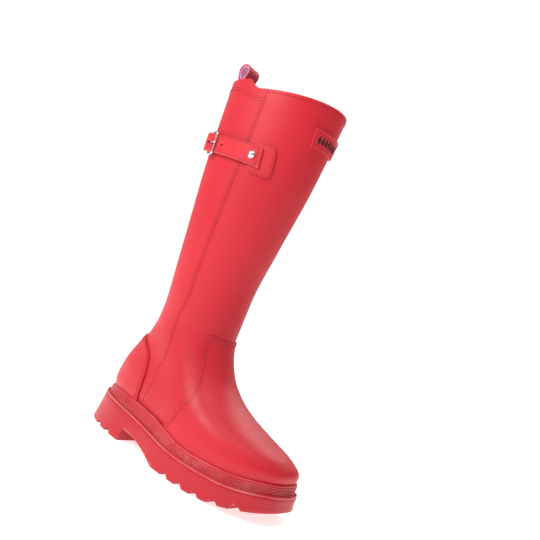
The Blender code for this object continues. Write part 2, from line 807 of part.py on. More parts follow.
def make_strap():
    start = PATCH_CENTRE - PATCH_WIDTH / 2
    end = PATCH_CENTRE + PATCH_WIDTH / 2
    distances = eased_ends(start, end, PATCH_CORNER, 5.0)
    halves = [rounded_width(d, start, end, PATCH_HEIGHT / 2, PATCH_CORNER) for d in distances]
    mesh = leg_sheet(strap_point, distances, halves, steady(PATCH_DEPTH), steady(PATCH_DEPTH + OVERLAY_WALL))
    patch = finish("strap_patch", mesh, RED, 0.42)
    cut_rivet_hole(patch, -0.5, 3.0, "cutter_patch")
    cut_rivet_hole(bpy.data.objects["shaft_front"], -4.0, 1.5, "cutter_shaft")
    distances = eased_ends(STRAP_TIP, STRAP_TIP + 2 * TIP_CORNER, TIP_CORNER, 4.0)[:-4]
    distances += spread(STRAP_TIP + TIP_CORNER, STRAP_FRONT, 3.5)[1:]
    halves = [rounded_width(d, STRAP_TIP, STRAP_FRONT * 2, STRAP_WIDTH / 2, TIP_CORNER) for d in distances]
    mesh = leg_sheet(strap_point, distances, halves, strap_lift, lambda d: strap_lift(d) + STRAP_WALL)
    strap = finish("strap", mesh, RED, 0.42)
    cut_rivet_hole(strap, STRAP_DEPTH - 1.0, STRAP_DEPTH + 4.0, "cutter_strap")
    cut(strap, fan_loft(hole_rings(SPARE_HOLE, HOLE_RADIUS, STRAP_DEPTH - 1.0, STRAP_DEPTH + 4.0)),
        "cutter_hole")
    half = PRONG_RADIUS + 2 * GAP
    slot = []
    for distance in spread(HINGE_BAR - 0.5, REST_BAR - 3.5, 3.0):
        slot.append([strap_point(distance, h, d) for h, d in (
            (-half, 1.0), (half, 1.0), (half, SLOT_REACH), (-half, SLOT_REACH))])
    cut(strap, fan_loft(slot), "cutter_slot")


def make_rivet():
    head = STRAP_DEPTH + STRAP_WALL + GAP
    post = fan_loft(hole_rings(RIVET_PLACE, POST_RADIUS, GAP - SHAFT_WALL, head + 0.3))
    finish("rivet_post", post, STEEL, 0.3, 1.0)
    mesh = bmesh.new()
    profile = [(POST_RADIUS + GAP, head), (CAP_RADIUS - 0.4, head), (CAP_RADIUS, head + 0.4)]
    for k in range(1, 5):
        turn = pi / 2 * k / 5
        profile.append((CAP_RADIUS * cos(turn), head + 0.4 + (CAP_HEIGHT - 0.4) * sin(turn)))
    rings = [cylinder_rings(strap_point(RIVET_PLACE, 0.0, d), strap_point(RIVET_PLACE, 0.0, d + 1.0),
                            radius, 16)[0] for radius, d in profile]
    floor = strap_point(RIVET_PLACE, 0.0, head + 0.7)
    bore = cylinder_rings(floor, strap_point(RIVET_PLACE, 0.0, head + 1.7), POST_RADIUS + GAP, 16)[0]
    grid = add_rows(mesh, [bore] + rings)
    skin_grid(mesh, grid, True)
    mesh.faces.new(grid[0])
    mesh.faces.new(grid[-1])
    finish("rivet_cap", mesh, STEEL, 0.3, 1.0)


def tube(name, path, radius, closed, colour, origin):
    """A round bar that follows a path of points."""
    mesh = bmesh.new()
    count = len(path)
    rings = []
    side = None
    for k, point in enumerate(path):
        before = path[k - 1] if closed or k > 0 else path[k]
        after = path[(k + 1) % count] if closed or k < count - 1 else path[k]
        direction = (after - before).normalized()
        if side is None:
            side = direction.orthogonal()
        side = (side - direction * side.dot(direction)).normalized()
        other = direction.cross(side)
        rings.append([point + (side * cos(pi * n / 4) + other * sin(pi * n / 4)) * radius for n in range(8)])
    grid = add_rows(mesh, rings)
    skin_grid(mesh, grid, True)
    if closed:
        offset = min(range(8), key=lambda n: (rings[0][n] - rings[-1][0]).length)
        first = [grid[0][(n + offset) % 8] for n in range(8)]
        join_edges(mesh, grid[-1], first, True)
    else:
        mesh.faces.new(grid[0])
        mesh.faces.new(grid[-1])
    return finish(name, mesh, colour, 0.2, 1.0, origin)


def bar_depth(distance):
    share = (distance - HINGE_BAR) / (REST_BAR - HINGE_BAR)
    return HINGE_DEPTH + (REST_DEPTH - HINGE_DEPTH) * share


def make_buckle():
    half = STRAP_WIDTH / 2 + 2 * GAP + BAR_RADIUS
    corner = BUCKLE_CORNER
    pivot = strap_point(HINGE_BAR, 0.0, HINGE_DEPTH)
    path = []
    corners = ((REST_BAR - corner, half - corner, 0), (HINGE_BAR + corner, half - corner, 90),
               (HINGE_BAR + corner, corner - half, 180), (REST_BAR - corner, corner - half, 270))
    for centre_along, centre_up, start in corners:
        for k in range(4):
            turn = radians(start + 30 * k)
            along = centre_along + corner * cos(turn)
            path.append(strap_point(along, centre_up + corner * sin(turn), bar_depth(along)))
    tube("buckle_frame", path, BAR_RADIUS, True, STEEL, pivot)
    path = []
    ring = BAR_RADIUS + GAP + PRONG_RADIUS
    for k in range(12):
        turn = radians(-30 - 270 * k / 11)
        path.append(strap_point(HINGE_BAR + ring * cos(turn), 0.0, HINGE_DEPTH + ring * sin(turn)))
    over = REST_DEPTH + BAR_RADIUS + GAP + PRONG_RADIUS
    last = HINGE_DEPTH + ring * sin(radians(-300))
    for distance in spread(HINGE_BAR + ring + 1.5, PRONG_TIP, 3.0):
        share = min(1.0, (distance - HINGE_BAR - ring) / (REST_BAR - HINGE_BAR - ring - 1.5))
        path.append(strap_point(distance, 0.0, last + (over - last) * share))
    tube("buckle_prong", path, PRONG_RADIUS, False, STEEL, pivot)


def make_anchor():
    inner = BAR_RADIUS + GAP
    outer = inner + ANCHOR_WALL
    low = HINGE_DEPTH - outer
    outside = [(ANCHOR_END, low), (HINGE_BAR - ANCHOR_TURN, low)]
    inside = [(ANCHOR_END, low + ANCHOR_WALL), (HINGE_BAR - ANCHOR_TURN, low + ANCHOR_WALL)]
    for k in range(13):
        turn = radians(-90 + 225 * k / 12)
        outside.append((HINGE_BAR + outer * cos(turn), HINGE_DEPTH + outer * sin(turn)))
        inside.append((HINGE_BAR + inner * cos(turn), HINGE_DEPTH + inner * sin(turn)))
    outside.append((HINGE_BAR - 8.0, low + 2 * ANCHOR_WALL + GAP))
    inside.append((HINGE_BAR - 7.0, low + ANCHOR_WALL + GAP))
    outside.append((ANCHOR_END + 2.0, low + 2 * ANCHOR_WALL + GAP))
    inside.append((ANCHOR_END + 2.0, low + ANCHOR_WALL + GAP))
    heights = spread(-ANCHOR_WIDTH / 2, ANCHOR_WIDTH / 2, 4.5)
    sheets = []
    for line in (outside, inside):
        sheets.append([[strap_point(d, h, depth) for h in heights] for d, depth in line])
    anchor = finish("buckle_anchor", wall(sheets[0], sheets[1], False), RED, 0.42)
    half = PRONG_RADIUS + 2 * GAP
    slot = []
    for distance in spread(HINGE_BAR - 5.5, HINGE_BAR + 6.0, 3.0):
        slot.append([strap_point(distance, h, d) for h, d in (
            (-half, -1.0), (half, -1.0), (half, SLOT_REACH), (-half, SLOT_REACH))])
    cut(anchor, fan_loft(slot), "cutter_anchor")


# ---------------------------------------------------------------- label

def label_sheet(distances, heights, low, high):
    outer = [[label_point(d, h, high(d, h)) for d in distances] for h in heights]
    inner = [[label_point(d, h, low) for d in distances] for h in heights]
    return wall(outer, inner, False)


def make_label():
    half = LABEL_WIDTH / 2
    tall = LABEL_HEIGHT / 2
    edge = half - LABEL_BORDER
    rim = tall - LABEL_BORDER
    distances = [-half, -edge, -edge + 0.2] + spread(-edge + 4, edge - 4, 5.0) + [edge - 0.2, edge, half]
    heights = [-tall, -rim, -rim + 0.2, 0.0, rim - 0.2, rim, tall]

    def face(distance, height):
        border = abs(distance) > edge - 0.1 or abs(height) > rim - 0.1
        return GAP + LABEL_WALL + (BORDER_RISE if border else 0.0)

    finish("label_plate", label_sheet(distances, heights, GAP, face), RED, 0.42)
    low = 2 * GAP + LABEL_WALL
    distances = spread(-MARK_WIDTH / 2, MARK_WIDTH / 2, 4.0)
    heights = spread(-MARK_HEIGHT / 2, MARK_HEIGHT / 2, 4.0)
    finish("label_marks", label_sheet(distances, heights, low, lambda d, h: low + MARK_WALL), DARK, 0.5)


def main():
    for old in list(bpy.data.objects):
        bpy.data.objects.remove(old)
    make_outsole()
    make_sole_core()
    make_band()
    make_lining()
    make_stiffeners()
    make_footbed()
    make_shaft()
    make_overlays()
    make_pull_loop()
    make_strap()
    make_rivet()
    make_buckle()
    make_anchor()
    make_label()


main()
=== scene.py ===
from math import cos, pi, radians, sin

import bmesh
import bpy
import numpy as np
from mathutils import Matrix, Vector


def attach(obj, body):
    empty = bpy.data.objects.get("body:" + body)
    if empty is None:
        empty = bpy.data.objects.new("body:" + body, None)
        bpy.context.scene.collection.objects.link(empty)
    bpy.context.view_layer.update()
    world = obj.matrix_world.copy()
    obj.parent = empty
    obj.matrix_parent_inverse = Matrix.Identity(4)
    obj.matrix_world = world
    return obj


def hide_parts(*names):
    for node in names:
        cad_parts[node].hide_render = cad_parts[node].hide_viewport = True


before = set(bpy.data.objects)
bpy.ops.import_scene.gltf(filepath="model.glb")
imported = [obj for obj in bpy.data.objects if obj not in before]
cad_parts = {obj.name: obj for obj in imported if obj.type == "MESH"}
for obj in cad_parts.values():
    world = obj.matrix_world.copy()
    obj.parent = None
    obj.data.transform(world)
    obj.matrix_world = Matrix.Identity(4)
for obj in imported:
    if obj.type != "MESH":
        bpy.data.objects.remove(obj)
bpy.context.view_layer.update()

# ---------------------------------------------------------------- camera

AZIMUTH = radians(38.0)
ELEVATION = radians(3.6)
ROLL = radians(22.21)
TARGET = Vector((-0.00296, -0.00454, 0.186))
DISTANCE = 0.7188
LENS = 41.59
SHIFT = (0.0605, 0.0840)


def towards(azimuth, elevation):
    """Away from the boot; azimuth 0 is its outer side and a quarter turn its toe."""
    return Vector((sin(azimuth) * cos(elevation), -cos(azimuth) * cos(elevation), sin(elevation)))


def make_camera():
    back = towards(AZIMUTH, ELEVATION)
    level = Vector((cos(AZIMUTH), sin(AZIMUTH), 0.0))
    upright = back.cross(level)
    right = level * cos(ROLL) + upright * sin(ROLL)
    up = upright * cos(ROLL) - level * sin(ROLL)
    data = bpy.data.cameras.new("camera")
    data.lens = LENS
    data.shift_x, data.shift_y = SHIFT
    data.clip_start = 0.01
    camera = bpy.data.objects.new("camera", data)
    bpy.context.collection.objects.link(camera)
    place = Matrix((right, up, back)).transposed().to_4x4()
    place.translation = TARGET + back * DISTANCE
    camera.matrix_world = place
    bpy.context.scene.camera = camera


# ---------------------------------------------------------------- sizes shared with the CAD, in mm

MM = 0.001
CENTRE = np.array((132.96, 4.5423, 0.0))
FOOT_LENGTH = 270.0
LEG_HEIGHT = 425.0
BALL_WIDTH = 100.0
CALF_WIDTH = 105.0
TOE_SWING = 18.0
TOE_SPRING = 15.0
GAP = 0.3
SHAFT_WALL = 2.0
OVERLAY_WALL = 1.6
BAND_WALL = 4.2
SOLE_LEDGE = 9.0
HEEL_FLARE = 4.0
WELT_HEIGHT = 2.2
EDGE_BEVEL = 1.2
HEEL_BREAST = 76.0
ARCH_END = 142.0
ARCH_RISE = 15.0
GROOVE_RADIUS = 6.0
GROOVE_CENTRE = -1.2
GROOVE_PITCH = 21.0
COLLAR_START = 0.95
SOFTEN = 0.05
VAMP_TOP = 0.46
VAMP_CORNER = 9.0
COUNTER_TOP = 0.26
COUNTER_CORNER = 14.0

# Rings of the upper: up, front x and z, back x and z, ball share out and in, calf share, widest place,
# front and back roundness, waist out and in. Each is a share of a size above.
STATIONS = (
    (0.00, 0.980, 0.104, 0.016, 0.108, 0.505, 0.495, 0.00, 0.66, 2.5, 2.7, 0.10, 0.20),
    (0.05, 0.990, 0.127, 0.003, 0.141, 0.525, 0.515, 0.00, 0.66, 2.4, 2.7, 0.10, 0.19),
    (0.11, 0.963, 0.151, 0.009, 0.184, 0.505, 0.495, 0.00, 0.64, 2.2, 2.6, 0.08, 0.15),
    (0.17, 0.862, 0.168, 0.033, 0.231, 0.450, 0.435, 0.01, 0.60, 2.1, 2.5, 0.05, 0.08),
    (0.26, 0.715, 0.198, 0.070, 0.280, 0.270, 0.255, 0.15, 0.54, 2.0, 2.3, 0.02, 0.03),
    (0.36, 0.587, 0.250, 0.102, 0.341, 0.105, 0.095, 0.29, 0.50, 2.0, 2.2, 0.00, 0.00),
    (0.46, 0.498, 0.361, 0.108, 0.405, 0.000, 0.000, 0.38, 0.48, 2.0, 2.1, 0.00, 0.00),
    (0.58, 0.495, 0.485, 0.095, 0.485, 0.000, 0.000, 0.40, 0.48, 2.0, 2.1, 0.00, 0.00),
    (0.72, 0.524, 0.642, 0.066, 0.631, 0.000, 0.000, 0.44, 0.49, 2.0, 2.1, 0.00, 0.00),
    (0.86, 0.568, 0.828, 0.027, 0.816, 0.000, 0.000, 0.475, 0.50, 2.0, 2.1, 0.00, 0.00),
    (1.00, 0.594, 1.026, 0.008, 1.000, 0.000, 0.000, 0.50, 0.50, 2.0, 2.1, 0.00, 0.00),
)
FEATHER_LINE = ((0.0, 45.0), (0.2, 49.0), (0.4, 46.0), (0.65, 36.0), (0.82, 38.0), (1.0, 45.0))
LEDGE_LINE = ((0.0, 35.0), (0.2, 34.0), (0.4, 29.0), (0.65, 23.0), (0.82, 24.0), (1.0, 31.0))
COUNTER_EDGE = ((0.0, 60.5), (0.12, 60.5), (0.2, 59.0), (0.24, 54.0), (0.26, 43.0))
SIDE_SEAM = ((0.0, 63.5), (0.155, 68.0), (0.39, 88.0), (0.57, 98.0), (1.0, 97.0))
VAMP_EDGE = ((0.0, 80.0), (0.138, 87.0), (0.27, 114.0), (0.344, 128.0), (0.39, 134.0), (0.46, 138.0))


def curve_through(points):
    """A smooth monotone curve through the points, for arrays of x."""
    xs, ys = np.array(points, float).T
    steps = np.diff(xs)
    rates = np.diff(ys) / steps
    slopes = [rates[0]]
    for i in range(1, len(rates)):
        if rates[i - 1] * rates[i] <= 0.0:
            slopes.append(0.0)
            continue
        before = 2 * steps[i] + steps[i - 1]
        after = steps[i] + 2 * steps[i - 1]
        slopes.append((before + after) / (before / rates[i - 1] + after / rates[i]))
    slopes = np.array(slopes + [rates[-1]])

    def value(x):
        x = np.clip(x, xs[0], xs[-1])
        i = np.clip(np.searchsorted(xs, x, side="right") - 1, 0, len(steps) - 1)
        t = (x - xs[i]) / steps[i]
        start = ys[i] * (1 + 2 * t) * (1 - t) ** 2 + slopes[i] * steps[i] * t * (1 - t) ** 2
        end = ys[i + 1] * t * t * (3 - 2 * t) + slopes[i + 1] * steps[i] * t * t * (t - 1)
        return start + end

    return value


station_curves = [curve_through([(row[0], row[k]) for row in STATIONS]) for k in range(1, 13)]
feather_curve = curve_through(FEATHER_LINE)
ledge_curve = curve_through(LEDGE_LINE)
counter_edge = curve_through([(up, radians(a)) for up, a in COUNTER_EDGE])
side_seam = curve_through([(up, radians(a)) for up, a in SIDE_SEAM])
vamp_edge = curve_through([(up, radians(a)) for up, a in VAMP_EDGE])


def feather(x):
    return feather_curve(x / FOOT_LENGTH)


def ledge(x):
    return ledge_curve(x / FOOT_LENGTH)


def tread(x):
    return TOE_SPRING * np.maximum(0.0, x / FOOT_LENGTH - 0.7) ** 2 / 0.09


def unit(vectors):
    return vectors / np.linalg.norm(vectors, axis=-1, keepdims=True)


def travel(line):
    """Distance travelled up to each point of a line."""
    return np.concatenate([[0.0], np.cumsum(np.linalg.norm(np.diff(line, axis=0), axis=1))])


def follow(travelled, values):
    """A function from distance along a line to the value there."""
    return lambda distance: np.stack([np.interp(distance, travelled, values[:, k]) for k in range(3)], -1)


def upper(up, angle):
    """Points on the outer face, eased over the foot; angle 0 is the back, 90 degrees the outer side."""
    up = np.asarray(up, float)
    ease = SOFTEN * np.clip(up / 0.08, 0.0, 1.0) * np.clip((0.42 - up) / 0.1, 0.0, 1.0)
    ends = station_point(up - ease, angle) + 2 * station_point(up, angle) + station_point(up + ease, angle)
    return ends / 4


def station_point(up, angle):
    up, angle = np.broadcast_arrays(np.asarray(up, float), np.asarray(angle, float))
    (front_x, front_z, back_x, back_z, ball_out, ball_in, calf, widest, front_power, back_power,
     waist_out, waist_in) = [curve(up) for curve in station_curves]
    c = np.cos(angle)
    s = np.sin(angle)
    exponent = 2 / np.where(c < 0, front_power, back_power)
    reach = np.abs(c) ** exponent
    along = np.where(c < 0, widest + (1 - widest) * reach, widest - widest * reach)
    leg = calf * CALF_WIDTH
    half = np.where(s > 0, -(ball_out * BALL_WIDTH + leg), ball_in * BALL_WIDTH + leg)
    waist = np.where(s > 0, waist_out, waist_in)
    x = (back_x + (front_x - back_x) * along) * FOOT_LENGTH
    y = half * np.abs(s) ** exponent * (1 - waist * np.exp(-((along - 0.36) / 0.16) ** 2))
    z = (back_z + (front_z - back_z) * along) * LEG_HEIGHT
    ground = (STATIONS[0][4] + (STATIONS[0][2] - STATIONS[0][4]) * along) * LEG_HEIGHT
    z = z + (feather(x) - ground) * np.maximum(0.0, 1 - up / 0.3) ** 2
    swing = np.maximum(0.0, (x / FOOT_LENGTH - 0.35) / 0.65) ** 2
    y = y + TOE_SWING * swing * np.maximum(0.0, 1 - up / 0.4)
    return np.stack([x, y, z], -1)


def upper_normal(up, angle):
    low = np.maximum(0.0, np.asarray(up) - 0.004)
    high = np.minimum(1.0, np.asarray(up) + 0.004)
    around = upper(up, angle + 0.01) - upper(up, angle - 0.01)
    rise = upper(high, angle) - upper(low, angle)
    return unit(np.cross(around, rise))


def skin(up, angle, depth):
    """Points at a depth outward from the upper's face."""
    return upper(up, angle) + upper_normal(up, angle) * np.asarray(depth, float)[..., None]


def skirt_normal(angle):
    around = upper(0.0, angle + 0.01) - upper(0.0, angle - 0.01)
    flat = np.stack([around[..., 1], -around[..., 0], np.zeros(around.shape[:-1])], -1)
    return unit(flat)


def around_rate(up, angle):
    """Millimetres around the upper for one radian of angle."""
    return np.linalg.norm(upper(up, angle + 0.01) - upper(up, angle - 0.01), axis=-1) / 0.02


def rise_rate(up, angle):
    return np.linalg.norm(upper(up + 0.005, angle) - upper(up - 0.005, angle), axis=-1) / 0.01


def beside_seam(up, offset):
    """The outer side seam's angle, moved towards the front by an offset in mm."""
    seam = side_seam(up)
    return seam + offset / around_rate(up, seam)


def even_angles(up, start, end, count):
    """Angles from start to end that lie evenly along the surface at one height."""
    dense = np.linspace(start, end, 6 * count)
    travelled = travel(upper(up, dense))
    return np.interp(np.linspace(0.0, travelled[-1], count), travelled, dense)


def ring_angles(up, count):
    """Angles that lie evenly all the way around."""
    return even_angles(up, 0.0, 2 * pi, count + 1)[:-1]


sole_angles = ring_angles(0.0, 300)


def sole_ring(grow, height, angles=sole_angles):
    """Outline of the upper's foot grown sideways, at the height that height(x) gives."""
    foot = upper(0.0, angles)
    ring = foot + skirt_normal(angles) * np.broadcast_to(grow(foot[:, 0]), angles.shape)[:, None]
    ring[:, 2] = height(ring[:, 0])
    return ring


def steady(value):
    return lambda x: value


def shifted(line, offset):
    return lambda x: line(x) + offset


def flare(x):
    heel = np.clip((0.45 - x / FOOT_LENGTH) / 0.2, 0.0, 1.0)
    return SOLE_LEDGE + 1.0 + (HEEL_FLARE - 1.0) * heel


# ---------------------------------------------------------------- mesh helpers

def make_object(name, points, faces, material, node=None, body="boot"):
    """An object from points in mm that rides on a body and stands in for a CAD node."""
    data = bpy.data.meshes.new(name)
    data.from_pydata(((np.asarray(points) - CENTRE) * MM).tolist(), [], faces)
    data.validate()
    mesh = bmesh.new()
    mesh.from_mesh(data)
    bmesh.ops.remove_doubles(mesh, verts=mesh.verts[:], dist=1e-6)
    bmesh.ops.dissolve_degenerate(mesh, edges=mesh.edges[:], dist=1e-7)
    bmesh.ops.recalc_face_normals(mesh, faces=mesh.faces[:])
    for face in mesh.faces:
        face.smooth = True
    mesh.to_mesh(data)
    mesh.free()
    data.materials.append(MATERIALS[material])
    made = bpy.data.objects.new(name, data)
    bpy.context.collection.objects.link(made)
    if body:
        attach(made, body)
    if node:
        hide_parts(node)
    return made


def grid_faces(rows, columns, around, start=0):
    faces = []
    for a in range(start, start + (rows - 1) * columns, columns):
        for j in range(columns if around else columns - 1):
            k = (j + 1) % columns
            faces.append((a + j, a + k, a + columns + k, a + columns + j))
    return faces


def slab(outer, inner, around):
    """Points and faces of a closed body between two matching sheets."""
    rows, columns = outer.shape[:2]
    size = rows * columns
    faces = grid_faces(rows, columns, around) + grid_faces(rows, columns, around, size)
    for row in (0, rows - 1):
        for j in range(columns if around else columns - 1):
            a = row * columns + j
            b = row * columns + (j + 1) % columns
            faces.append((a, b, size + b, size + a))
    if not around:
        for column in (0, columns - 1):
            for i in range(rows - 1):
                a = i * columns + column
                faces.append((a, a + columns, size + a + columns, size + a))
    return np.concatenate([outer.reshape(-1, 3), inner.reshape(-1, 3)]), faces


def tube_faces(rings, sides, closed, start=0):
    faces = grid_faces(rings, sides, True, start)
    last = start + (rings - 1) * sides
    if closed:
        for j in range(sides):
            k = (j + 1) % sides
            faces.append((last + j, last + k, start + k, start + j))
    else:
        faces.append(tuple(range(start, start + sides)))
        faces.append(tuple(range(last, last + sides)))
    return faces


def sweep(path, radii, reference, closed, sides=16, flat=1.0):
    """A bar along a path; its section is radii wide and flat times that along the reference."""
    path = np.asarray(path, float)
    if closed:
        along = unit(np.roll(path, -1, 0) - np.roll(path, 1, 0))
    else:
        along = unit(np.gradient(path, axis=0))
    side = unit(np.cross(along, reference))
    other = np.cross(side, along)
    turns = np.arange(sides) * 2 * pi / sides
    radii = np.broadcast_to(np.asarray(radii, float), (len(path),))[:, None, None]
    ring = side[:, None] * np.cos(turns)[None, :, None] + other[:, None] * np.sin(turns)[None, :, None] * flat
    return (path[:, None] + ring * radii).reshape(-1, 3), tube_faces(len(path), sides, closed)


def bevel(made, width, segments=3, angle=40.0):
    modifier = made.modifiers.new("bevel", "BEVEL")
    modifier.width = width * MM
    modifier.segments = segments
    modifier.limit_method = "ANGLE"
    modifier.angle_limit = radians(angle)
    modifier.harden_normals = True


def carve(made, cutters):
    """Subtract bodies from an object and keep the plain result."""
    for points, faces in cutters:
        cutter = make_object("cutter", points, faces, "dark", body=None)
        modifier = made.modifiers.new("cut", "BOOLEAN")
        modifier.operation = "DIFFERENCE"
        modifier.solver = "EXACT"
        modifier.object = cutter
        seen = made.evaluated_get(bpy.context.evaluated_depsgraph_get())
        shape = bpy.data.meshes.new_from_object(seen)
        made.modifiers.clear()
        made.data = shape
        bpy.data.objects.remove(cutter)
    for polygon in made.data.polygons:
        polygon.use_smooth = True


# place along a stitch and thickness there, both as shares
STITCH_RINGS = ((-1.0, 0.25), (-0.86, 0.7), (-0.5, 0.95), (0.0, 1.0), (0.5, 0.95), (0.86, 0.7), (1.0, 0.25))
STITCH_SIDES = 6


def stitches(name, lines, slot, length=2.0, pitch=3.4, radius=0.45, slant=0.0,
             material="thread", body="boot"):
    """Raised stitches along lines of (points, normals), as one piece."""
    points = []
    faces = []
    for line, normals in lines:
        travelled = travel(line)
        at = follow(travelled, line)
        normal_at = follow(travelled, normals)
        count = max(1, int(travelled[-1] / pitch))
        for centre in (np.arange(count) + 0.5) * (travelled[-1] / count):
            out = unit(normal_at(centre))
            tangent = unit(at(centre + 0.3) - at(centre - 0.3))
            side = np.cross(out, tangent)
            start = len(points)
            for place, size in STITCH_RINGS:
                middle = at(centre + place * length / 2) + side * (slant * place * length / 2)
                middle = middle + out * radius * (0.35 - 0.75 * place * place)
                for k in range(STITCH_SIDES):
                    turn = 2 * pi * k / STITCH_SIDES
                    points.append(middle + (side * cos(turn) + out * sin(turn)) * radius * size)
            faces += tube_faces(len(STITCH_RINGS), STITCH_SIDES, False, start)
    made = make_object(name, points, faces, material, body=body)


def surface_line(ups, angles, depth):
    """Points at a depth over the upper's face, with the face's normals."""
    ups, angles = np.broadcast_arrays(np.asarray(ups, float), np.asarray(angles, float))
    return skin(ups, angles, np.full(ups.shape, depth)), upper_normal(ups, angles)


# ---------------------------------------------------------------- materials

MATERIALS = {}


class Nodes:
    """Short calls for building a material's nodes."""

    def __init__(self, name):
        self.material = bpy.data.materials.new(name)
        self.material.use_nodes = True
        self.tree = self.material.node_tree
        self.shader = self.tree.nodes["Principled BSDF"]
        self.place = self.add("ShaderNodeTexCoord").outputs["Object"]
        MATERIALS[name] = self.material

    def add(self, kind, **settings):
        node = self.tree.nodes.new(kind)
        for key, value in settings.items():
            setattr(node, key, value)
        return node

    def link(self, source, target):
        self.tree.links.new(source, target)

    def put(self, target, value):
        if isinstance(value, (int, float)):
            target.default_value = value
        elif isinstance(value, tuple):
            target.default_value = (*value, 1.0) if len(value) == 3 else value
        else:
            self.link(value, target)

    def stretch(self, scale):
        node = self.add("ShaderNodeMapping")
        self.link(self.place, node.inputs["Vector"])
        node.inputs["Scale"].default_value = scale
        return node.outputs["Vector"]

    def noise(self, scale, detail=3.0, roughness=0.5, vector=None):
        node = self.add("ShaderNodeTexNoise")
        self.link(vector or self.place, node.inputs["Vector"])
        node.inputs["Scale"].default_value = scale
        node.inputs["Detail"].default_value = detail
        node.inputs["Roughness"].default_value = roughness
        return node.outputs["Fac"]

    def remap(self, value, low, high, new_low, new_high):
        node = self.add("ShaderNodeMapRange")
        for key, number in zip(("From Min", "From Max", "To Min", "To Max"), (low, high, new_low, new_high)):
            node.inputs[key].default_value = number
        self.link(value, node.inputs["Value"])
        return node.outputs["Result"]

    def math(self, operation, first, second):
        node = self.add("ShaderNodeMath", operation=operation)
        self.put(node.inputs[0], first)
        self.put(node.inputs[1], second)
        return node.outputs["Value"]

    def mix(self, share, first, second):
        node = self.add("ShaderNodeMix", data_type="RGBA")
        self.put(node.inputs["Factor"], share)
        self.put(node.inputs["A"], first)
        self.put(node.inputs["B"], second)
        return node.outputs["Result"]

    def bump(self, height, strength, distance, below=None):
        node = self.add("ShaderNodeBump")
        node.inputs["Strength"].default_value = strength
        node.inputs["Distance"].default_value = distance
        self.link(height, node.inputs["Height"])
        if below is not None:
            self.link(below, node.inputs["Normal"])
        return node.outputs["Normal"]

    def wear_and_painted_light(self, low=0.52, high=0.62):
        """1 along outward edges, 0 elsewhere; it places paler edges on rubber, partly wear and partly painted
        highlight, and painted shade in steel's hollows.
        """
        return self.remap(self.add("ShaderNodeNewGeometry").outputs["Pointiness"], low, high, 0.0, 1.0)

    def set(self, **sockets):
        for key, value in sockets.items():
            self.put(self.shader.inputs[key.replace("_", " ")], value)


def tint(colour, factor):
    return tuple(min(1.0, c * factor) for c in colour)


def rubber(name, colour, roughness=0.46, grain=1.0, wear_and_painted_light=0.25, edge_paling=0.16):
    """Matte moulded rubber: a fine pebble, faint clouding, and outward edges painted paler, partly as rubbing
    wear and partly as painted highlight.
    """
    n = Nodes(name)
    clouds = n.remap(n.noise(9.0, 4.0), 0.3, 0.7, 0.0, 1.0)
    base = n.mix(clouds, tint(colour, 0.93), tint(colour, 1.06))
    specks = n.remap(n.noise(420.0, 2.0), 0.45, 0.75, 0.0, 0.35)
    base = n.mix(specks, base, tint(colour, 1.18))
    # Outward edges turn paler: partly rubbing wear, partly painted highlight where light catches the edges.
    pale = tuple(c + (0.9 - c) * edge_paling for c in colour)
    edge = n.math("MULTIPLY", n.wear_and_painted_light(), wear_and_painted_light)
    wear_and_highlight_share = n.math("MULTIPLY", edge, n.remap(n.noise(55.0, 3.0), 0.35, 0.65, 0.3, 1.0))
    base = n.mix(wear_and_highlight_share, base, pale)
    pebble = n.noise(2600.0, 2.0, 0.6)
    mould = n.noise(120.0, 3.0, 0.55)
    rough = n.remap(n.noise(38.0, 4.0), 0.3, 0.7, roughness - 0.06, roughness + 0.08)
    rough = n.math("ADD", rough, n.remap(pebble, 0.3, 0.7, -0.03, 0.03))
    normal = n.bump(mould, 0.05 * grain, 0.0012)
    normal = n.bump(pebble, 0.16 * grain, 0.00022, normal)
    n.set(Base_Color=base, Roughness=rough, Normal=normal, Specular_IOR_Level=0.38, Sheen_Weight=0.05,
          Sheen_Roughness=0.4, Sheen_Tint=(1.0, 0.7, 0.7))


def fabric(name, colour, thread=0.9, roughness=0.88, gap=0.68):
    """Woven or knitted cloth: crossing threads with darker gaps between them."""
    n = Nodes(name)
    threads = []
    for direction in ("Z", "DIAGONAL"):
        wave = n.add("ShaderNodeTexWave", bands_direction=direction, wave_profile="SIN")
        n.link(n.place, wave.inputs["Vector"])
        wave.inputs["Scale"].default_value = 1000.0 / (thread * 6.3)
        wave.inputs["Distortion"].default_value = 0.6
        wave.inputs["Detail Scale"].default_value = 3.0
        threads.append(wave.outputs["Fac"])
    weave = n.math("MULTIPLY", threads[0], threads[1])
    fuzz = n.noise(1500.0, 3.0, 0.7)
    base = n.mix(n.remap(weave, 0.0, 0.7, 0.0, 1.0), tint(colour, gap), tint(colour, 1.1))
    base = n.mix(n.remap(n.noise(22.0, 3.0), 0.3, 0.7, 0.0, 0.5), base, tint(colour, 0.85))
    normal = n.bump(weave, 0.5, 0.0003)
    normal = n.bump(fuzz, 0.25, 0.0002, normal)
    rough = n.remap(weave, 0.0, 1.0, roughness + 0.06, roughness - 0.06)
    n.set(Base_Color=base, Roughness=rough, Normal=normal, Sheen_Weight=0.35, Sheen_Roughness=0.5)


def steel(name, colour, roughness=0.16):
    """Polished plate with fine drawn scratches, dull spots and painted shade in its hollows."""
    n = Nodes(name)
    scratches = n.noise(260.0, 3.0, 0.7, n.stretch((1.0, 1.0, 14.0)))
    dull = n.remap(n.noise(90.0, 3.0), 0.35, 0.7, 0.0, 0.10)
    rough = n.math("ADD", n.remap(scratches, 0.3, 0.7, roughness - 0.04, roughness + 0.06), dull)
    base = n.mix(n.remap(n.noise(140.0, 3.0), 0.3, 0.7, 0.0, 1.0), tint(colour, 0.9), tint(colour, 1.05))
    # Hollows are darkened to 0.55 of the colour: painted shade.
    base = n.mix(n.wear_and_painted_light(0.40, 0.48), tint(colour, 0.55), base)
    n.set(Base_Color=base, Roughness=rough, Metallic=1.0, Normal=n.bump(scratches, 0.06, 0.0001))


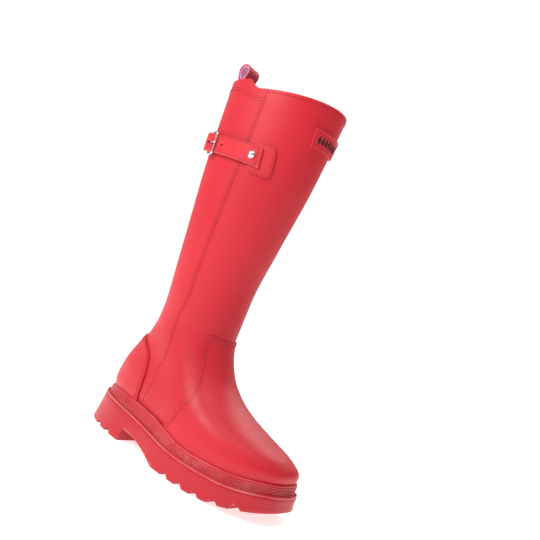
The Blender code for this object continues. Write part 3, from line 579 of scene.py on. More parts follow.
def board(name, colour, roughness=0.85):
    """Pressed fibre or foam, with short fibres and pores."""
    n = Nodes(name)
    fibres = n.noise(500.0, 4.0, 0.7, n.stretch((1.0, 3.0, 1.0)))
    base = n.mix(n.remap(fibres, 0.35, 0.65, 0.0, 1.0), tint(colour, 0.82), tint(colour, 1.08))
    n.set(Base_Color=base, Roughness=n.remap(fibres, 0.3, 0.7, roughness - 0.08, roughness + 0.08),
          Normal=n.bump(fibres, 0.3, 0.0003))


RED = (0.52, 0.010, 0.021)
SOLE_RED = (0.46, 0.009, 0.019)
STRAP_RED = (0.56, 0.016, 0.028)
LINING_RED = (0.33, 0.007, 0.013)
LOOP_RED = (0.56, 0.012, 0.026)
LILAC = (0.78, 0.40, 0.62)
STEEL = (0.72, 0.71, 0.73)
CREAM = (0.75, 0.68, 0.58)
DARK = (0.030, 0.003, 0.005)


def make_materials():
    rubber("rubber_shaft", RED)
    rubber("rubber_overlay", tint(RED, 1.03))
    # Sole, band and welt get strong edge paling: painted highlight on the sole edges, welt and band rib
    # crests, with some wear.
    rubber("rubber_sole", SOLE_RED, 0.42, 1.4, 0.8)
    rubber("rubber_band", tint(RED, 1.02), 0.30, 0.6, 1.6, 0.42)
    rubber("rubber_welt", RED, 0.36, 0.8, 1.0, 0.22)
    rubber("rubber_strap", STRAP_RED, 0.44, 1.1, 0.4)
    # Stitches are coloured darker red: painted shade standing in for the shade inside moulded stitch holes.
    rubber("thread", tint(RED, 0.5), 0.6, 0.6, 0.0)
    # Welt stitch dashes are coloured paler red: painted highlight on their tops.
    rubber("painted_highlight_thread", tint(RED, 1.25), 0.5, 0.6, 0.0)
    rubber("dark", DARK, 0.4, 0.6, 0.0)
    fabric("lining", LINING_RED)
    fabric("binding", tint(LINING_RED, 1.15), 0.7)
    fabric("loop_ribbon", LOOP_RED, 0.6, 0.6, 0.92)
    fabric("loop_lining", LILAC, 0.7, 0.88, 0.92)
    fabric("footbed_cloth", tint(LINING_RED, 1.2), 0.8)
    steel("steel", STEEL)
    steel("shank_steel", tint(STEEL, 0.85), 0.32)
    board("board", CREAM)
    carried = {"board": ("heel_filler", "insole_board", "toe_puff", "counter_stiffener"),
               "shank_steel": ("shank",), "steel": ("rivet_post",)}
    for material, nodes in carried.items():
        for node in nodes:
            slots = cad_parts[node].data.materials
            slots.clear()
            slots.append(MATERIALS[material])


# ---------------------------------------------------------------- sole

SOLE_DIP = 0.35
CUTTER_REACH = 5.0
CURVE_SIDES = 28


def strip_cap(ring, rows, rise=None):
    """A sheet that closes a ring with strips straight across; rise(share) crowns it."""
    count = len(ring)
    left = ring[:count // 2 + 1]
    right = np.concatenate([ring[:1], ring[:count // 2 - 1:-1]])
    shares = np.linspace(0.0, 1.0, rows)[:, None, None]
    sheet = left[None] * (1 - shares) + right[None] * shares
    if rise is not None:
        sheet[:, :, 2] += rise(shares[:, :, 0])
    return sheet


def prism(profile, half_width):
    """An XZ outline extruded across the boot."""
    count = len(profile)
    points = [(x, side * half_width, z) for side in (-1, 1) for x, z in profile]
    faces = [(j, (j + 1) % count, count + (j + 1) % count, count + j) for j in range(count)]
    faces += [tuple(range(count)), tuple(range(count, 2 * count))]
    return points, faces


def groove_places():
    heel = [HEEL_BREAST - GROOVE_PITCH * (k + 1) for k in range(2)]
    count = int((FOOT_LENGTH - GROOVE_RADIUS - ARCH_END) / GROOVE_PITCH)
    return heel + [ARCH_END + GROOVE_PITCH * (k + 1) for k in range(count)]


def make_outsole():
    profile = ((-EDGE_BEVEL, 0.0), (-SOLE_DIP, SOLE_DIP), (0.0, EDGE_BEVEL))
    rings = [sole_ring(shifted(flare, offset), shifted(tread, rise)) for offset, rise in profile]
    for share in (0.2, 0.4, 0.6, 0.8):
        def grow(x, share=share):
            return flare(x) + (SOLE_LEDGE - flare(x)) * share - SOLE_DIP * sin(pi * share)

        def height(x, share=share):
            low = tread(x) + EDGE_BEVEL
            return low + (ledge(x) - EDGE_BEVEL - low) * share

        rings.append(sole_ring(grow, height))
    for offset, drop in ((0.0, -EDGE_BEVEL), (-SOLE_DIP, -SOLE_DIP), (-EDGE_BEVEL, 0.0)):
        rings.append(sole_ring(steady(SOLE_LEDGE + offset), shifted(ledge, drop)))
    count = len(rings[0])
    faces = grid_faces(len(rings), count, True)
    for row in (0, len(rings) - 1):
        a = row * count
        faces.append((a, a + 1, a + count - 1))
        for j in range(1, count // 2 - 1):
            faces.append((a + j, a + j + 1, a + count - j - 1, a + count - j))
        faces.append((a + count // 2 - 1, a + count // 2, a + count // 2 + 1))
    made = make_object("outsole_looks", np.concatenate(rings), faces, "rubber_sole", "outsole")
    span = ARCH_END - HEEL_BREAST
    arch = [(HEEL_BREAST, -CUTTER_REACH)]
    for share in np.linspace(0.0, 1.0, CURVE_SIDES):
        arch.append((HEEL_BREAST + 2.0 + (span - 2.0) * share, ARCH_RISE * (1 - share ** 2.2)))
    arch.append((ARCH_END + 3.0, -CUTTER_REACH))
    cutters = [prism(arch, BALL_WIDTH)]
    turns = np.arange(CURVE_SIDES) * 2 * pi / CURVE_SIDES
    for place in groove_places():
        low = float(tread(place)) + GROOVE_CENTRE
        groove = [(place + GROOVE_RADIUS * cos(t), low + GROOVE_RADIUS * sin(t)) for t in turns]
        cutters.append(prism(groove, BALL_WIDTH))
    carve(made, cutters)
    bevel(made, 1.3)


RIB_DEPTH = 1.3
BEAD_DEPTH = 0.75


def make_band():
    """The foot's surround: fine moulded ribs under a slim top bead."""
    ribs = 6
    start = 0.12
    end = 0.84
    foot = np.linspace(0.0, start, 4)[:-1]
    heights = np.concatenate([foot, np.linspace(start, end, ribs * 8 + 1), np.linspace(end + 0.02, 1.0, 8)])
    outer = []
    inner = []
    for t in heights:
        offset = GAP + BAND_WALL - 0.6
        if start < t < end:
            phase = (t - start) / (end - start) * ribs % 1.0
            offset += RIB_DEPTH * max(0.0, 1 - (2 * phase - 1) ** 2 * 1.5) ** 0.5
        if t > end:
            share = (t - end) / (1 - end)
            offset += BEAD_DEPTH * max(0.0, 1 - (2 * share - 0.8) ** 2) ** 0.5 if share < 0.9 else -0.4

        def height(x, t=t):
            low = ledge(x) + GAP
            return low + (feather(x) - low) * t

        outer.append(sole_ring(steady(offset), height))
        inner.append(sole_ring(steady(GAP), height))
    points, faces = slab(np.array(outer), np.array(inner), True)
    make_object("band_looks", points, faces, "rubber_band", "midsole_band")


def make_welt():
    """The stitched ledge between the outsole and the band."""
    rows = ((0.0, 0.0), (0.0, 0.7), (-0.25, 0.88), (-0.8, 1.0), (-1.35, 0.78), (-1.9, 0.78), (-2.4, 1.0))
    outer = []
    inner = []
    for k, (offset, share) in enumerate(rows):
        height = shifted(ledge, GAP + WELT_HEIGHT * share)
        outer.append(sole_ring(steady(SOLE_LEDGE - 0.5 + offset), height))
        inner.append(sole_ring(steady(BAND_WALL + 2 * GAP + 0.2 * k / 6), height))
    points, faces = slab(np.array(outer), np.array(inner), True)
    make_object("welt_looks", points, faces, "rubber_welt", "welt")
    ring = sole_ring(steady(SOLE_LEDGE - 2.2), shifted(ledge, GAP + WELT_HEIGHT * 0.8))
    ring = np.concatenate([ring, ring[:1]])
    normals = np.tile(np.array((0.0, 0.0, 1.0)), (len(ring), 1))
    # These stitches use the paler red: painted highlight.
    stitches("welt_stitches", [(ring, normals)], "welt", 4.2, 6.0, 0.75, 0.25, "painted_highlight_thread")


# ---------------------------------------------------------------- upper

TAB_RISE = 15.0
TAB_SHARE = 0.74
TAB_FILLET_SHARE = 0.19
PANEL_ROWS = 110
PANEL_COLUMNS = 121
SEAM_HALF_GAP = 0.11
OVERLAY_HEM = 1.5
STITCH_INSETS = (2.4, 4.8)
SEAM_INSET = 2.6
FRONT_INSET = 2.0
# share of the way to the side seam, height over the rim
BACK_LINE = curve_through(((0.0, 4.5), (0.44, 4.0), (0.78, -3.0), (1.0, -8.0)))


def skin_sheet(ups, angles, depth):
    """Rows of points on the upper, with a hidden first row down at the sole."""
    sheet = skin(ups[:, None], angles, np.full(angles.shape, depth))
    low = upper(0.0, angles[0]) + skirt_normal(angles[0]) * depth
    low[:, 2] = ledge(low[:, 0]) + GAP
    return np.concatenate([low[None], sheet])


def raise_tab(sheet):
    """Lengthen the wall across the back, along its own slope, up to a level top with concave ends."""
    rim = sheet[-1]
    middle = len(rim) // 2
    travelled = travel(rim)
    place = np.abs(travelled - travelled[middle]) / travelled[middle]
    share = np.clip(1 - np.maximum(0.0, (place - TAB_SHARE) / TAB_FILLET_SHARE), 0.0, 1.0) ** 2
    rise = (TAB_RISE + rim[middle, 2] - rim[:, 2]) * share
    slope = unit(rim - sheet[-2])
    rows = [sheet]
    for step in (0.1, 0.25, 0.4, 0.55, 0.7, 0.85, 1.0):
        rows.append((rim + slope * (rise * step + 0.02 * step)[:, None])[None])
    return np.concatenate(rows)


def make_shaft():
    ups = np.linspace(0.0, 1.0, PANEL_ROWS)
    for name, offset, turn in (("shaft_front", SEAM_HALF_GAP, 2 * pi), ("shaft_back", -SEAM_HALF_GAP, 0.0)):
        rows = []
        for up in ups:
            edges = sorted((beside_seam(up, offset), turn - beside_seam(up, offset)))
            rows.append(even_angles(up, *edges, PANEL_COLUMNS))
        outer = skin_sheet(ups, np.array(rows), 0.0)
        inner = skin_sheet(ups, np.array(rows), -SHAFT_WALL)
        if name == "shaft_back":
            outer = raise_tab(outer)
            inner = raise_tab(inner)
        points, faces = slab(outer, inner, False)
        made = make_object(name + "_looks", points, faces, "rubber_shaft", name)
        bevel(made, 0.45)


def overlay_line(edge, middle, top, corner, inset):
    """Heights and angles along an overlay's edge, from the sole up and round its corner."""
    side = 1.0 if middle else -1.0
    rise = float(rise_rate(top - 0.03, float(edge(top))))
    ups = list(np.linspace(0.0, top - corner / rise, 60))
    reaches = [inset] * len(ups)
    for turn in np.linspace(0.0, 1.0, 12)[1:] * pi / 2:
        ups.append(top - (corner - (corner - inset) * sin(turn)) / rise)
        reaches.append(corner - (corner - inset) * cos(turn))
    angles = []
    for up, reach in zip(ups, reaches):
        angles.append(float(edge(up)) + side * reach / float(around_rate(up, edge(up))))
    return np.array(ups), np.array(angles)


def overlay_stitch_line(edge, middle, top, corner, inset):
    """The stitch line up one side of an overlay, across its top and down the other."""
    ups, angles = overlay_line(edge, middle, top, corner, inset)
    keep = ups > 0.012
    across = angles[-1] + (middle - angles[-1]) * np.linspace(0.0, 1.0, 40)[1:]
    ups = np.concatenate([ups[keep], np.full(len(across), ups[-1])])
    angles = np.concatenate([angles[keep], across])
    back = 2 * middle - angles[::-1]
    ups = np.concatenate([ups, ups[::-1][1:]])
    return surface_line(ups, np.concatenate([angles, back[1:]]), GAP + OVERLAY_WALL)


def make_overlay(name, edge, middle, top, corner, columns):
    outer = []
    inner = []
    for up, start in zip(*overlay_line(edge, middle, top, corner, 0.0)):
        angles = even_angles(up, start, 2 * middle - start, columns)
        if up == 0.0:
            hem = shifted(feather, GAP - OVERLAY_HEM)
            outer.append(sole_ring(steady(GAP + OVERLAY_WALL), hem, angles))
            inner.append(sole_ring(steady(GAP / 2), hem, angles))
        outer.append(skin(up, angles, np.full(columns, GAP + OVERLAY_WALL)))
        inner.append(skin(up, angles, np.full(columns, GAP / 2)))
    points, faces = slab(np.array(outer), np.array(inner), False)
    made = make_object(name + "_looks", points, faces, "rubber_overlay", name)
    bevel(made, 0.7)
    lines = [overlay_stitch_line(edge, middle, top, corner, inset) for inset in STITCH_INSETS]
    stitches(name + "_stitches", lines, name)


def back_line(drop):
    """A line below the raised back's top edge, from one side seam to the other."""
    end = beside_seam(1.0, -3.0)
    angles = even_angles(1.0, -end, end, 161)
    height = BACK_LINE(np.abs(np.linspace(-1.0, 1.0, 161))) - drop
    ups = 1.0 + np.minimum(height, 0.0) / LEG_HEIGHT
    slope = unit(upper(1.0, angles) - upper(0.99, angles))
    return upper(ups, angles) + slope * np.maximum(height, 0.0)[:, None], upper_normal(ups, angles)


def seam_lines(ups, offset):
    """Lines that run up the leg beside both side seams."""
    angles = beside_seam(ups, offset)
    return [surface_line(ups, side * angles, 0.0) for side in (1.0, -1.0)]


def make_seam_stitches():
    lines = seam_lines(np.linspace(0.285, 0.985, 160), -SEAM_INSET)
    stitches("seam_stitches", lines, "shaft_back")
    lines = [back_line(drop) for drop in (0.0, 2.7)]
    stitches("back_stitches", lines, "shaft_back")
    rim = 1.0 - SEAM_INSET / LEG_HEIGHT
    start = beside_seam(rim, FRONT_INSET)
    lines = [surface_line(rim, np.linspace(start, 2 * pi - start, 240), 0.0)]
    lines += seam_lines(np.linspace(0.48, 0.985, 120), FRONT_INSET)
    stitches("front_stitches", lines, "shaft_front")


# ---------------------------------------------------------------- inside

STIFFENER_WALL = 1.0
STIFFENER_DEPTH = -SHAFT_WALL - GAP
FOOT_LINING_DEPTH = STIFFENER_DEPTH - STIFFENER_WALL - GAP
LINING_WALL = 1.0
BOARD_WALL = 2.0
BOARD_TOP = BOARD_WALL + 2 * GAP
FOOTBED_WALL = 4.5
FOOTBED_SLACK = 1.5
FOOTBED_CROWN = 1.2
LINING_COLUMNS = 140
COLLAR_COLUMNS = 200


def lining_depth(up):
    share = np.clip((up - 0.31) / 0.2, 0.0, 1.0)
    return FOOT_LINING_DEPTH + (STIFFENER_DEPTH - FOOT_LINING_DEPTH) * share


def ring_sheet(ups, depth_of, columns):
    """Rows of points all the way around, at the depth that depth_of(up) gives."""
    rows = []
    for up in ups:
        rows.append(skin(up, ring_angles(up, columns), np.full(columns, depth_of(up))))
    return np.array(rows)


def make_lining():
    ups = np.linspace(0.0, COLLAR_START, 80)
    outer = ring_sheet(ups, lining_depth, LINING_COLUMNS)
    inner = ring_sheet(ups, shifted(lining_depth, -LINING_WALL), LINING_COLUMNS)
    angles = ring_angles(0.0, LINING_COLUMNS)
    low_outer = sole_ring(steady(FOOT_LINING_DEPTH), shifted(ledge, BOARD_TOP), angles)
    inner_depth = steady(FOOT_LINING_DEPTH - LINING_WALL)
    low_inner = sole_ring(inner_depth, shifted(ledge, BOARD_TOP + LINING_WALL), angles)
    outer = np.concatenate([low_outer[None], outer])
    inner = np.concatenate([low_inner[None], inner])
    points, faces = slab(outer, inner, True)
    floor_low = strip_cap(low_outer, 9, lambda share: GAP)
    more, more_faces = slab(strip_cap(low_inner, 9), floor_low, False)
    start = len(points)
    faces += [tuple(start + k for k in face) for face in more_faces]
    made = make_object("lining_looks", np.concatenate([points, more]), faces, "lining", "lining_sock")
    bevel(made, 0.25, 2, 60.0)
    ups = np.linspace(COLLAR_START, 1.0, 14)
    outer = ring_sheet(ups, steady(STIFFENER_DEPTH), COLLAR_COLUMNS)
    inner = ring_sheet(ups, steady(STIFFENER_DEPTH - LINING_WALL), COLLAR_COLUMNS)
    points, faces = slab(outer, inner, True)
    made = make_object("collar_binding_looks", points, faces, "binding", "collar_binding")
    bevel(made, 0.35)
    lines = []
    for up in (COLLAR_START + 0.007, 0.993):
        line, normals = surface_line(up, np.linspace(0.0, 2 * pi, 300), STIFFENER_DEPTH - LINING_WALL)
        lines.append((line, -normals))
    stitches("binding_stitches", lines, "collar_binding")


def make_footbed():
    inset = FOOT_LINING_DEPTH - LINING_WALL - FOOTBED_SLACK
    low = BOARD_TOP + LINING_WALL + GAP
    bottom = sole_ring(steady(inset - 0.8), shifted(ledge, low))
    top = sole_ring(steady(inset), shifted(ledge, low + FOOTBED_WALL - FOOTBED_CROWN))

    def crown(share):
        edge = np.clip(4 * share * (1 - share), 0.0, 1.0)
        return FOOTBED_CROWN * edge ** 0.35 - 0.5 * edge ** 2

    points, faces = slab(strip_cap(top, 25, crown), strip_cap(bottom, 25), False)
    made = make_object("footbed_looks", points, faces, "footbed_cloth", "footbed", "footbed")
    bevel(made, 0.5, 2, 50.0)


# ---------------------------------------------------------------- pull loop

LOOP_WIDTH = 20.0
LOOP_RADIUS = 8.5
LOOP_RISE = 24.0
LOOP_WALL = 1.5
LOOP_BEAD = 1.5
LOOP_LINING_WALL = 0.7
LOOP_INSET = 1.6


def loop_centre():
    top = upper(1.0, 0.0)
    return np.array((top[0] + SHAFT_WALL / 2, top[1], top[2] + TAB_RISE + GAP + LOOP_BEAD))


def teardrop(shrink):
    """Outline of the loop in the XZ plane: a round top over a narrow foot."""
    centre = loop_centre()
    radius = LOOP_RADIUS - shrink
    turns = np.radians(np.linspace(-25, 205, 41))
    points = [(centre[0] + radius * cos(t), centre[2] + LOOP_RISE + radius * sin(t)) for t in turns]
    half = LOOP_BEAD if shrink == 0 else 0.5
    low = centre[2] + (0.0 if shrink == 0 else LOOP_BEAD + shrink * 2.4)
    bottom = -LOOP_BEAD if shrink == 0 else 0.0
    left = points[-1]
    right = points[0]
    for share in np.linspace(0.0, 1.0, 9)[1:]:
        points.append((left[0] + (centre[0] - half - left[0]) * share, left[1] + (low - left[1]) * share))
    points.append((centre[0], low + bottom))
    foot = centre[0] + half
    for share in np.linspace(0.0, 1.0, 9)[:-1]:
        points.append((foot + (right[0] - foot) * share, low + (right[1] - low) * share))
    return points


def make_loop(name, outside, inside, half_width, material):
    """One layer of the loop; returns the points of its outer face."""
    sheets = []
    centre = loop_centre()
    for outline in (teardrop(outside), teardrop(inside)):
        rows = []
        for y in np.linspace(-half_width, half_width, 9):
            rows.append([(x, centre[1] + y, z) for x, z in outline])
        sheets.append(np.array(rows))
    points, faces = slab(sheets[0], sheets[1], True)
    made = make_object(name + "_looks", points, faces, material, name, "loop")
    bevel(made, 0.3, 2)
    return sheets[0]


def make_pull_loop():
    outer = make_loop("pull_loop", 0.0, LOOP_WALL, LOOP_WIDTH / 2, "loop_ribbon")
    start = LOOP_WALL + GAP
    make_loop("pull_loop_lining", start, start + LOOP_LINING_WALL, LOOP_WIDTH / 2 - 0.5, "loop_lining")
    lines = []
    for row, shift in ((0, LOOP_INSET), (-1, -LOOP_INSET)):
        line = outer[row][:-1] + np.array((0.0, shift, 0.0))
        normals = unit(np.cross(np.gradient(line, axis=0), (0.0, 1.0, 0.0)))
        away = line - (loop_centre() + np.array((0.0, 0.0, LOOP_RISE)))
        normals = normals * np.sign((normals * away).sum(1, keepdims=True))
        lines.append((line, normals))
    stitches("loop_stitches", lines, "pull_loop", 1.5, 2.2, 0.25, material="loop_ribbon", body="loop")


# ---------------------------------------------------------------- strap, buckle and rivet

STRAP_LEVEL = 0.872
STRAP_SLOPE = 0.10
STRAP_WIDTH = 22.0
STRAP_WALL = 1.8
STRAP_FRONT = 133.0
STRAP_TIP = 28.0
PATCH_CENTRE = 132.0
PATCH_WIDTH = 32.0
PATCH_HEIGHT = 36.0
PATCH_CORNER = 9.0
PATCH_INSET = 2.0
TIP_CORNER = STRAP_WIDTH / 2 - 0.8
RIVET_PLACE = 122.0
CAP_RADIUS = 4.2
CAP_HEIGHT = 2.6
CAP_BRIM = 0.85
HINGE_BAR = 45.0
REST_BAR = 63.0
BAR_RADIUS = 1.3
BUCKLE_CORNER = 2.8
PRONG_RADIUS = 0.8
PRONG_TIP = 67.0
ANCHOR_WALL = 1.1
ANCHOR_WIDTH = 18.0
ANCHOR_END = 32.0
SPARE_HOLE = 76.0
HOLE_RADIUS = 1.7
SLOT_TOP = 12.0
EDGE_INSET = 1.8
# length, pitch and radius
FINE_STITCH = (1.7, 2.5, 0.36)
RIVET_SIDES = 48
STRAP_DEPTH = 2 * GAP + OVERLAY_WALL
EYE_RADIUS = BAR_RADIUS + GAP + 2 * PRONG_RADIUS
HINGE_DEPTH = EYE_RADIUS + GAP
STRAP_OVER = HINGE_DEPTH + EYE_RADIUS + GAP
REST_DEPTH = STRAP_DEPTH + STRAP_WALL + GAP + BAR_RADIUS
ARC_STEPS = 240
strap_lift = curve_through((
    (STRAP_TIP, STRAP_OVER - 3.0), (HINGE_BAR - 6.0, STRAP_OVER),
    (HINGE_BAR + EYE_RADIUS - 1.0, STRAP_OVER), (REST_BAR - BAR_RADIUS - 1.0, STRAP_DEPTH),
    (STRAP_FRONT, STRAP_DEPTH)))


class LegPatch:
    """Places on the leg: distance around from the back centre and height above a level, in mm."""

    def __init__(self, level):
        self.level = level
        across = upper(level + 0.01, pi / 2) - upper(level - 0.01, pi / 2)
        self.rise = float(np.linalg.norm(across)) / 0.02
        self.ups = np.linspace(level - 0.07, min(1.0, level + 0.07), 29)
        self.angles = np.linspace(0.0, pi, ARC_STEPS + 1)
        points = upper(self.ups[:, None], self.angles[None])
        steps = np.linalg.norm(np.diff(points, axis=1), axis=2)
        self.tables = np.concatenate([np.zeros((len(self.ups), 1)), np.cumsum(steps, 1)], 1)
        self.half = float(np.interp(level, self.ups, self.tables[:, -1]))

    def at(self, distance, height):
        """The up share and the angle of each place."""
        distance, height = np.broadcast_arrays(np.asarray(distance, float), np.asarray(height, float))
        ups = self.level + height / self.rise
        found = np.empty(ups.shape)
        for index in np.ndindex(ups.shape):
            k = np.clip(np.searchsorted(self.ups, ups[index]) - 1, 0, len(self.ups) - 2)
            share = (ups[index] - self.ups[k]) / (self.ups[k + 1] - self.ups[k])
            table = self.tables[k] * (1 - share) + self.tables[k + 1] * share
            found[index] = np.sign(distance[index]) * np.interp(abs(distance[index]), table, self.angles)
        return ups, found

    def point(self, distance, height, depth):
        ups, angles = self.at(distance, height)
        return skin(ups, angles, np.broadcast_to(depth, ups.shape))

    def line(self, distance, height, depth):
        ups, angles = self.at(distance, height)
        return surface_line(ups, angles, depth)


strap_patch = LegPatch(STRAP_LEVEL)


def strap_height(distance, height):
    """Height on the leg of a place on the strap, which slopes."""
    return height + (RIVET_PLACE - np.asarray(distance)) * STRAP_SLOPE


def strap_point(distance, height, depth):
    return strap_patch.point(distance, strap_height(distance, height), depth)


def strap_line(distance, height, depth):
    return strap_patch.line(distance, strap_height(distance, height), depth)


def rounded_width(distance, start, end, half, corner):
    """Half height of a strip with rounded ends, at a distance along it."""
    near = np.clip(np.minimum(distance - start, end - distance), 0.0, corner)
    return half - corner + np.sqrt(np.maximum(0.0, corner ** 2 - (corner - near) ** 2))


def eased(start, end, corner, step, both=True):
    """Distances along a strip, closer together in its rounded ends."""
    turn = np.linspace(0.0, pi / 2, 12)
    near = start + corner * (1 - np.cos(turn))
    far = end - corner * (1 - np.cos(turn[::-1])) if both else np.array([end])
    middle = np.linspace(near[-1], far[0], max(2, int((far[0] - near[-1]) / step)))
    return np.concatenate([near, middle[1:-1], far])


def strip(distances, halves, low, high):
    """A closed strip along the strap, between the depths that low and high give."""
    heights = halves[:, None] * np.linspace(-1.0, 1.0, 17)[None]
    spread = np.broadcast_to(distances[:, None], heights.shape)
    outer = strap_point(spread, heights, high(spread))
    return slab(outer, strap_point(spread, heights, low(spread)), False)


def bore(distance, radius, low, high):
    """A round cutter through the strap."""
    start = strap_point(distance, 0.0, low)
    end = strap_point(distance, 0.0, high)
    reference = strap_point(distance, 1.0, low) - start
    return sweep(np.array([start, (start + end) / 2, end]), radius, reference, False, 28)


def slot_box(start, end, count, low):
    """A cutter along the strap that clears the prong."""
    half = PRONG_RADIUS + 2 * GAP
    section = ((-half, low), (half, low), (half, SLOT_TOP), (-half, SLOT_TOP))
    points = [strap_point(distance, h, z) for distance in np.linspace(start, end, count) for h, z in section]
    return np.array(points), tube_faces(count, 4, False)


def rounded_outline(start, end, half, corner, radius, steps, pitch, least):
    """Distances and heights around a rounded rectangle; a radius under the corner draws it in there."""
    path = []
    corners = ((end - corner, half - corner, 0), (start + corner, half - corner, 90),
               (start + corner, corner - half, 180), (end - corner, corner - half, 270))
    for along, height, turn in corners:
        for t in np.radians(turn + np.linspace(0.0, 90.0, steps)):
            path.append((along + radius * cos(t), height + radius * sin(t)))
    fine = []
    for (a, b), (c, d) in zip(path, path[1:] + path[:1]):
        count = max(least, int((abs(c - a) + abs(d - b)) / pitch))
        for share in np.linspace(0.0, 1.0, count + 1)[:-1]:
            fine.append((a + (c - a) * share, b + (d - b) * share))
    return np.array(fine)


def tip_width(distance):
    """Share of the strap's width, drawn in along an oval tip."""
    back = np.clip((HINGE_BAR - distance) / (HINGE_BAR - STRAP_TIP), 0.0, 1.0)
    return np.sqrt(1 - back ** 2 + 1e-4)


def make_patch():
    start = PATCH_CENTRE - PATCH_WIDTH / 2
    end = PATCH_CENTRE + PATCH_WIDTH / 2
    half = PATCH_HEIGHT / 2
    top = GAP + OVERLAY_WALL
    distances = eased(start, end, PATCH_CORNER, 1.5)
    halves = rounded_width(distances, start, end, half, PATCH_CORNER)
    points, faces = strip(distances, halves, steady(GAP / 2), steady(top))
    made = make_object("strap_patch_looks", points, faces, "rubber_strap", "strap_patch")
    bevel(made, 0.55)
    edge = rounded_outline(start, end, half, PATCH_CORNER, PATCH_CORNER - PATCH_INSET, 7, 1.0, 2)
    edge = np.concatenate([edge, edge[:1]])
    stitches("patch_stitches", [strap_line(edge[:, 0], edge[:, 1], top)], "strap_patch", *FINE_STITCH)


def make_strap():
    face = shifted(strap_lift, STRAP_WALL)
    distances = eased(STRAP_TIP, STRAP_FRONT, TIP_CORNER, 1.3, False)
    points, faces = strip(distances, tip_width(distances) * STRAP_WIDTH / 2, strap_lift, face)
    made = make_object("strap_looks", points, faces, "rubber_strap", "strap")
    carve(made, [bore(SPARE_HOLE, HOLE_RADIUS, STRAP_DEPTH - 1.0, STRAP_DEPTH + 4.0),
                 slot_box(HINGE_BAR - 0.5, REST_BAR - 3.5, 7, 1.0)])
    bevel(made, 0.45)
    half = STRAP_WIDTH / 2 - EDGE_INSET
    lines = []
    for place in (STRAP_FRONT - 3.0, STRAP_FRONT - 5.2):
        spots = np.full(20, place)
        lines.append(strap_line(spots, np.linspace(-half, half, 20), face(spots)))
    for side in (-1.0, 1.0):
        spots = np.linspace(REST_BAR + 4.0, STRAP_FRONT - 3.0, 60)
        lines.append(strap_line(spots, np.full(60, side * half), face(spots)))
    stitches("strap_stitches", lines, "strap", *FINE_STITCH)


def make_rivet():
    head = STRAP_DEPTH + STRAP_WALL + GAP
    middle = strap_point(RIVET_PLACE, 0.0, head)
    out = unit(strap_point(RIVET_PLACE, 0.0, head + 1.0) - middle)
    side = unit(strap_point(RIVET_PLACE, 1.0, head) - middle)
    other = np.cross(out, side)
    turns = np.arange(RIVET_SIDES) * 2 * pi / RIVET_SIDES

    def turned(profile):
        points = [middle + out * height + (side * cos(t) + other * sin(t)) * radius
                  for radius, height in profile for t in turns]
        return points, tube_faces(len(profile), RIVET_SIDES, False)

    profile = [(CAP_RADIUS - 0.5, -0.1), (CAP_RADIUS, 0.15), (CAP_RADIUS + 0.05, 0.45),
               (CAP_RADIUS - 0.15, 0.75), (CAP_RADIUS - 0.6, CAP_BRIM)]
    for k in range(1, 12):
        turn = pi / 2 * k / 12
        profile.append(((CAP_RADIUS - 0.7) * cos(turn), CAP_BRIM + (CAP_HEIGHT - CAP_BRIM) * sin(turn)))
    profile.append((0.02, CAP_HEIGHT))
    make_object("rivet_looks", *turned(profile), "steel", "rivet_cap")
    washer = ((CAP_RADIUS + 0.2, -0.25), (CAP_RADIUS + 0.9, -0.2), (CAP_RADIUS + 1.1, 0.0),
              (CAP_RADIUS + 0.8, 0.2), (CAP_RADIUS, 0.2))
    ring = make_object("rivet_washer", *turned(washer), "rubber_strap")


def bar_depth(distance):
    share = (np.asarray(distance) - HINGE_BAR) / (REST_BAR - HINGE_BAR)
    return HINGE_DEPTH + (REST_DEPTH - HINGE_DEPTH) * share


def make_frame():
    half = STRAP_WIDTH / 2 + 2 * GAP + BAR_RADIUS
    edge = rounded_outline(HINGE_BAR, REST_BAR, half, BUCKLE_CORNER, BUCKLE_CORNER, 9, 1.5, 1)
    line = strap_point(edge[:, 0], edge[:, 1], bar_depth(edge[:, 0]))
    middle = (HINGE_BAR + REST_BAR) / 2
    out = unit(strap_point(middle, 0.0, 6.0) - strap_point(middle, 0.0, 5.0))
    points, faces = sweep(line, BAR_RADIUS, out, True, 20, 0.92)
    make_object("buckle_frame_looks", points, faces, "steel", "buckle_frame", "frame")


def make_prong():
    ring = BAR_RADIUS + GAP + PRONG_RADIUS
    turns = np.radians(np.linspace(-30, -300, 25))
    places = [(HINGE_BAR + ring * cos(t), HINGE_DEPTH + ring * sin(t)) for t in turns]
    over = REST_DEPTH + BAR_RADIUS + GAP + PRONG_RADIUS
    last = places[-1][1]
    for distance in np.linspace(HINGE_BAR + ring + 1.5, PRONG_TIP, 14):
        share = min(1.0, (distance - HINGE_BAR - ring) / (REST_BAR - HINGE_BAR - ring - 1.5))
        places.append((distance, last + (over - last) * share))
    places = np.array(places)
    line = strap_point(places[:, 0], 0.0 * places[:, 0], places[:, 1])
    axis = unit(strap_point(HINGE_BAR, 1.0, HINGE_DEPTH) - strap_point(HINGE_BAR, 0.0, HINGE_DEPTH))
    radii = np.full(len(line), PRONG_RADIUS)
    radii[:2] *= (0.5, 0.9)
    radii[-3:] *= (0.95, 0.8, 0.35)
    points, faces = sweep(line, radii, axis, False, 16, 1.1)
    make_object("buckle_prong_looks", points, faces, "steel", "buckle_prong", "prong")


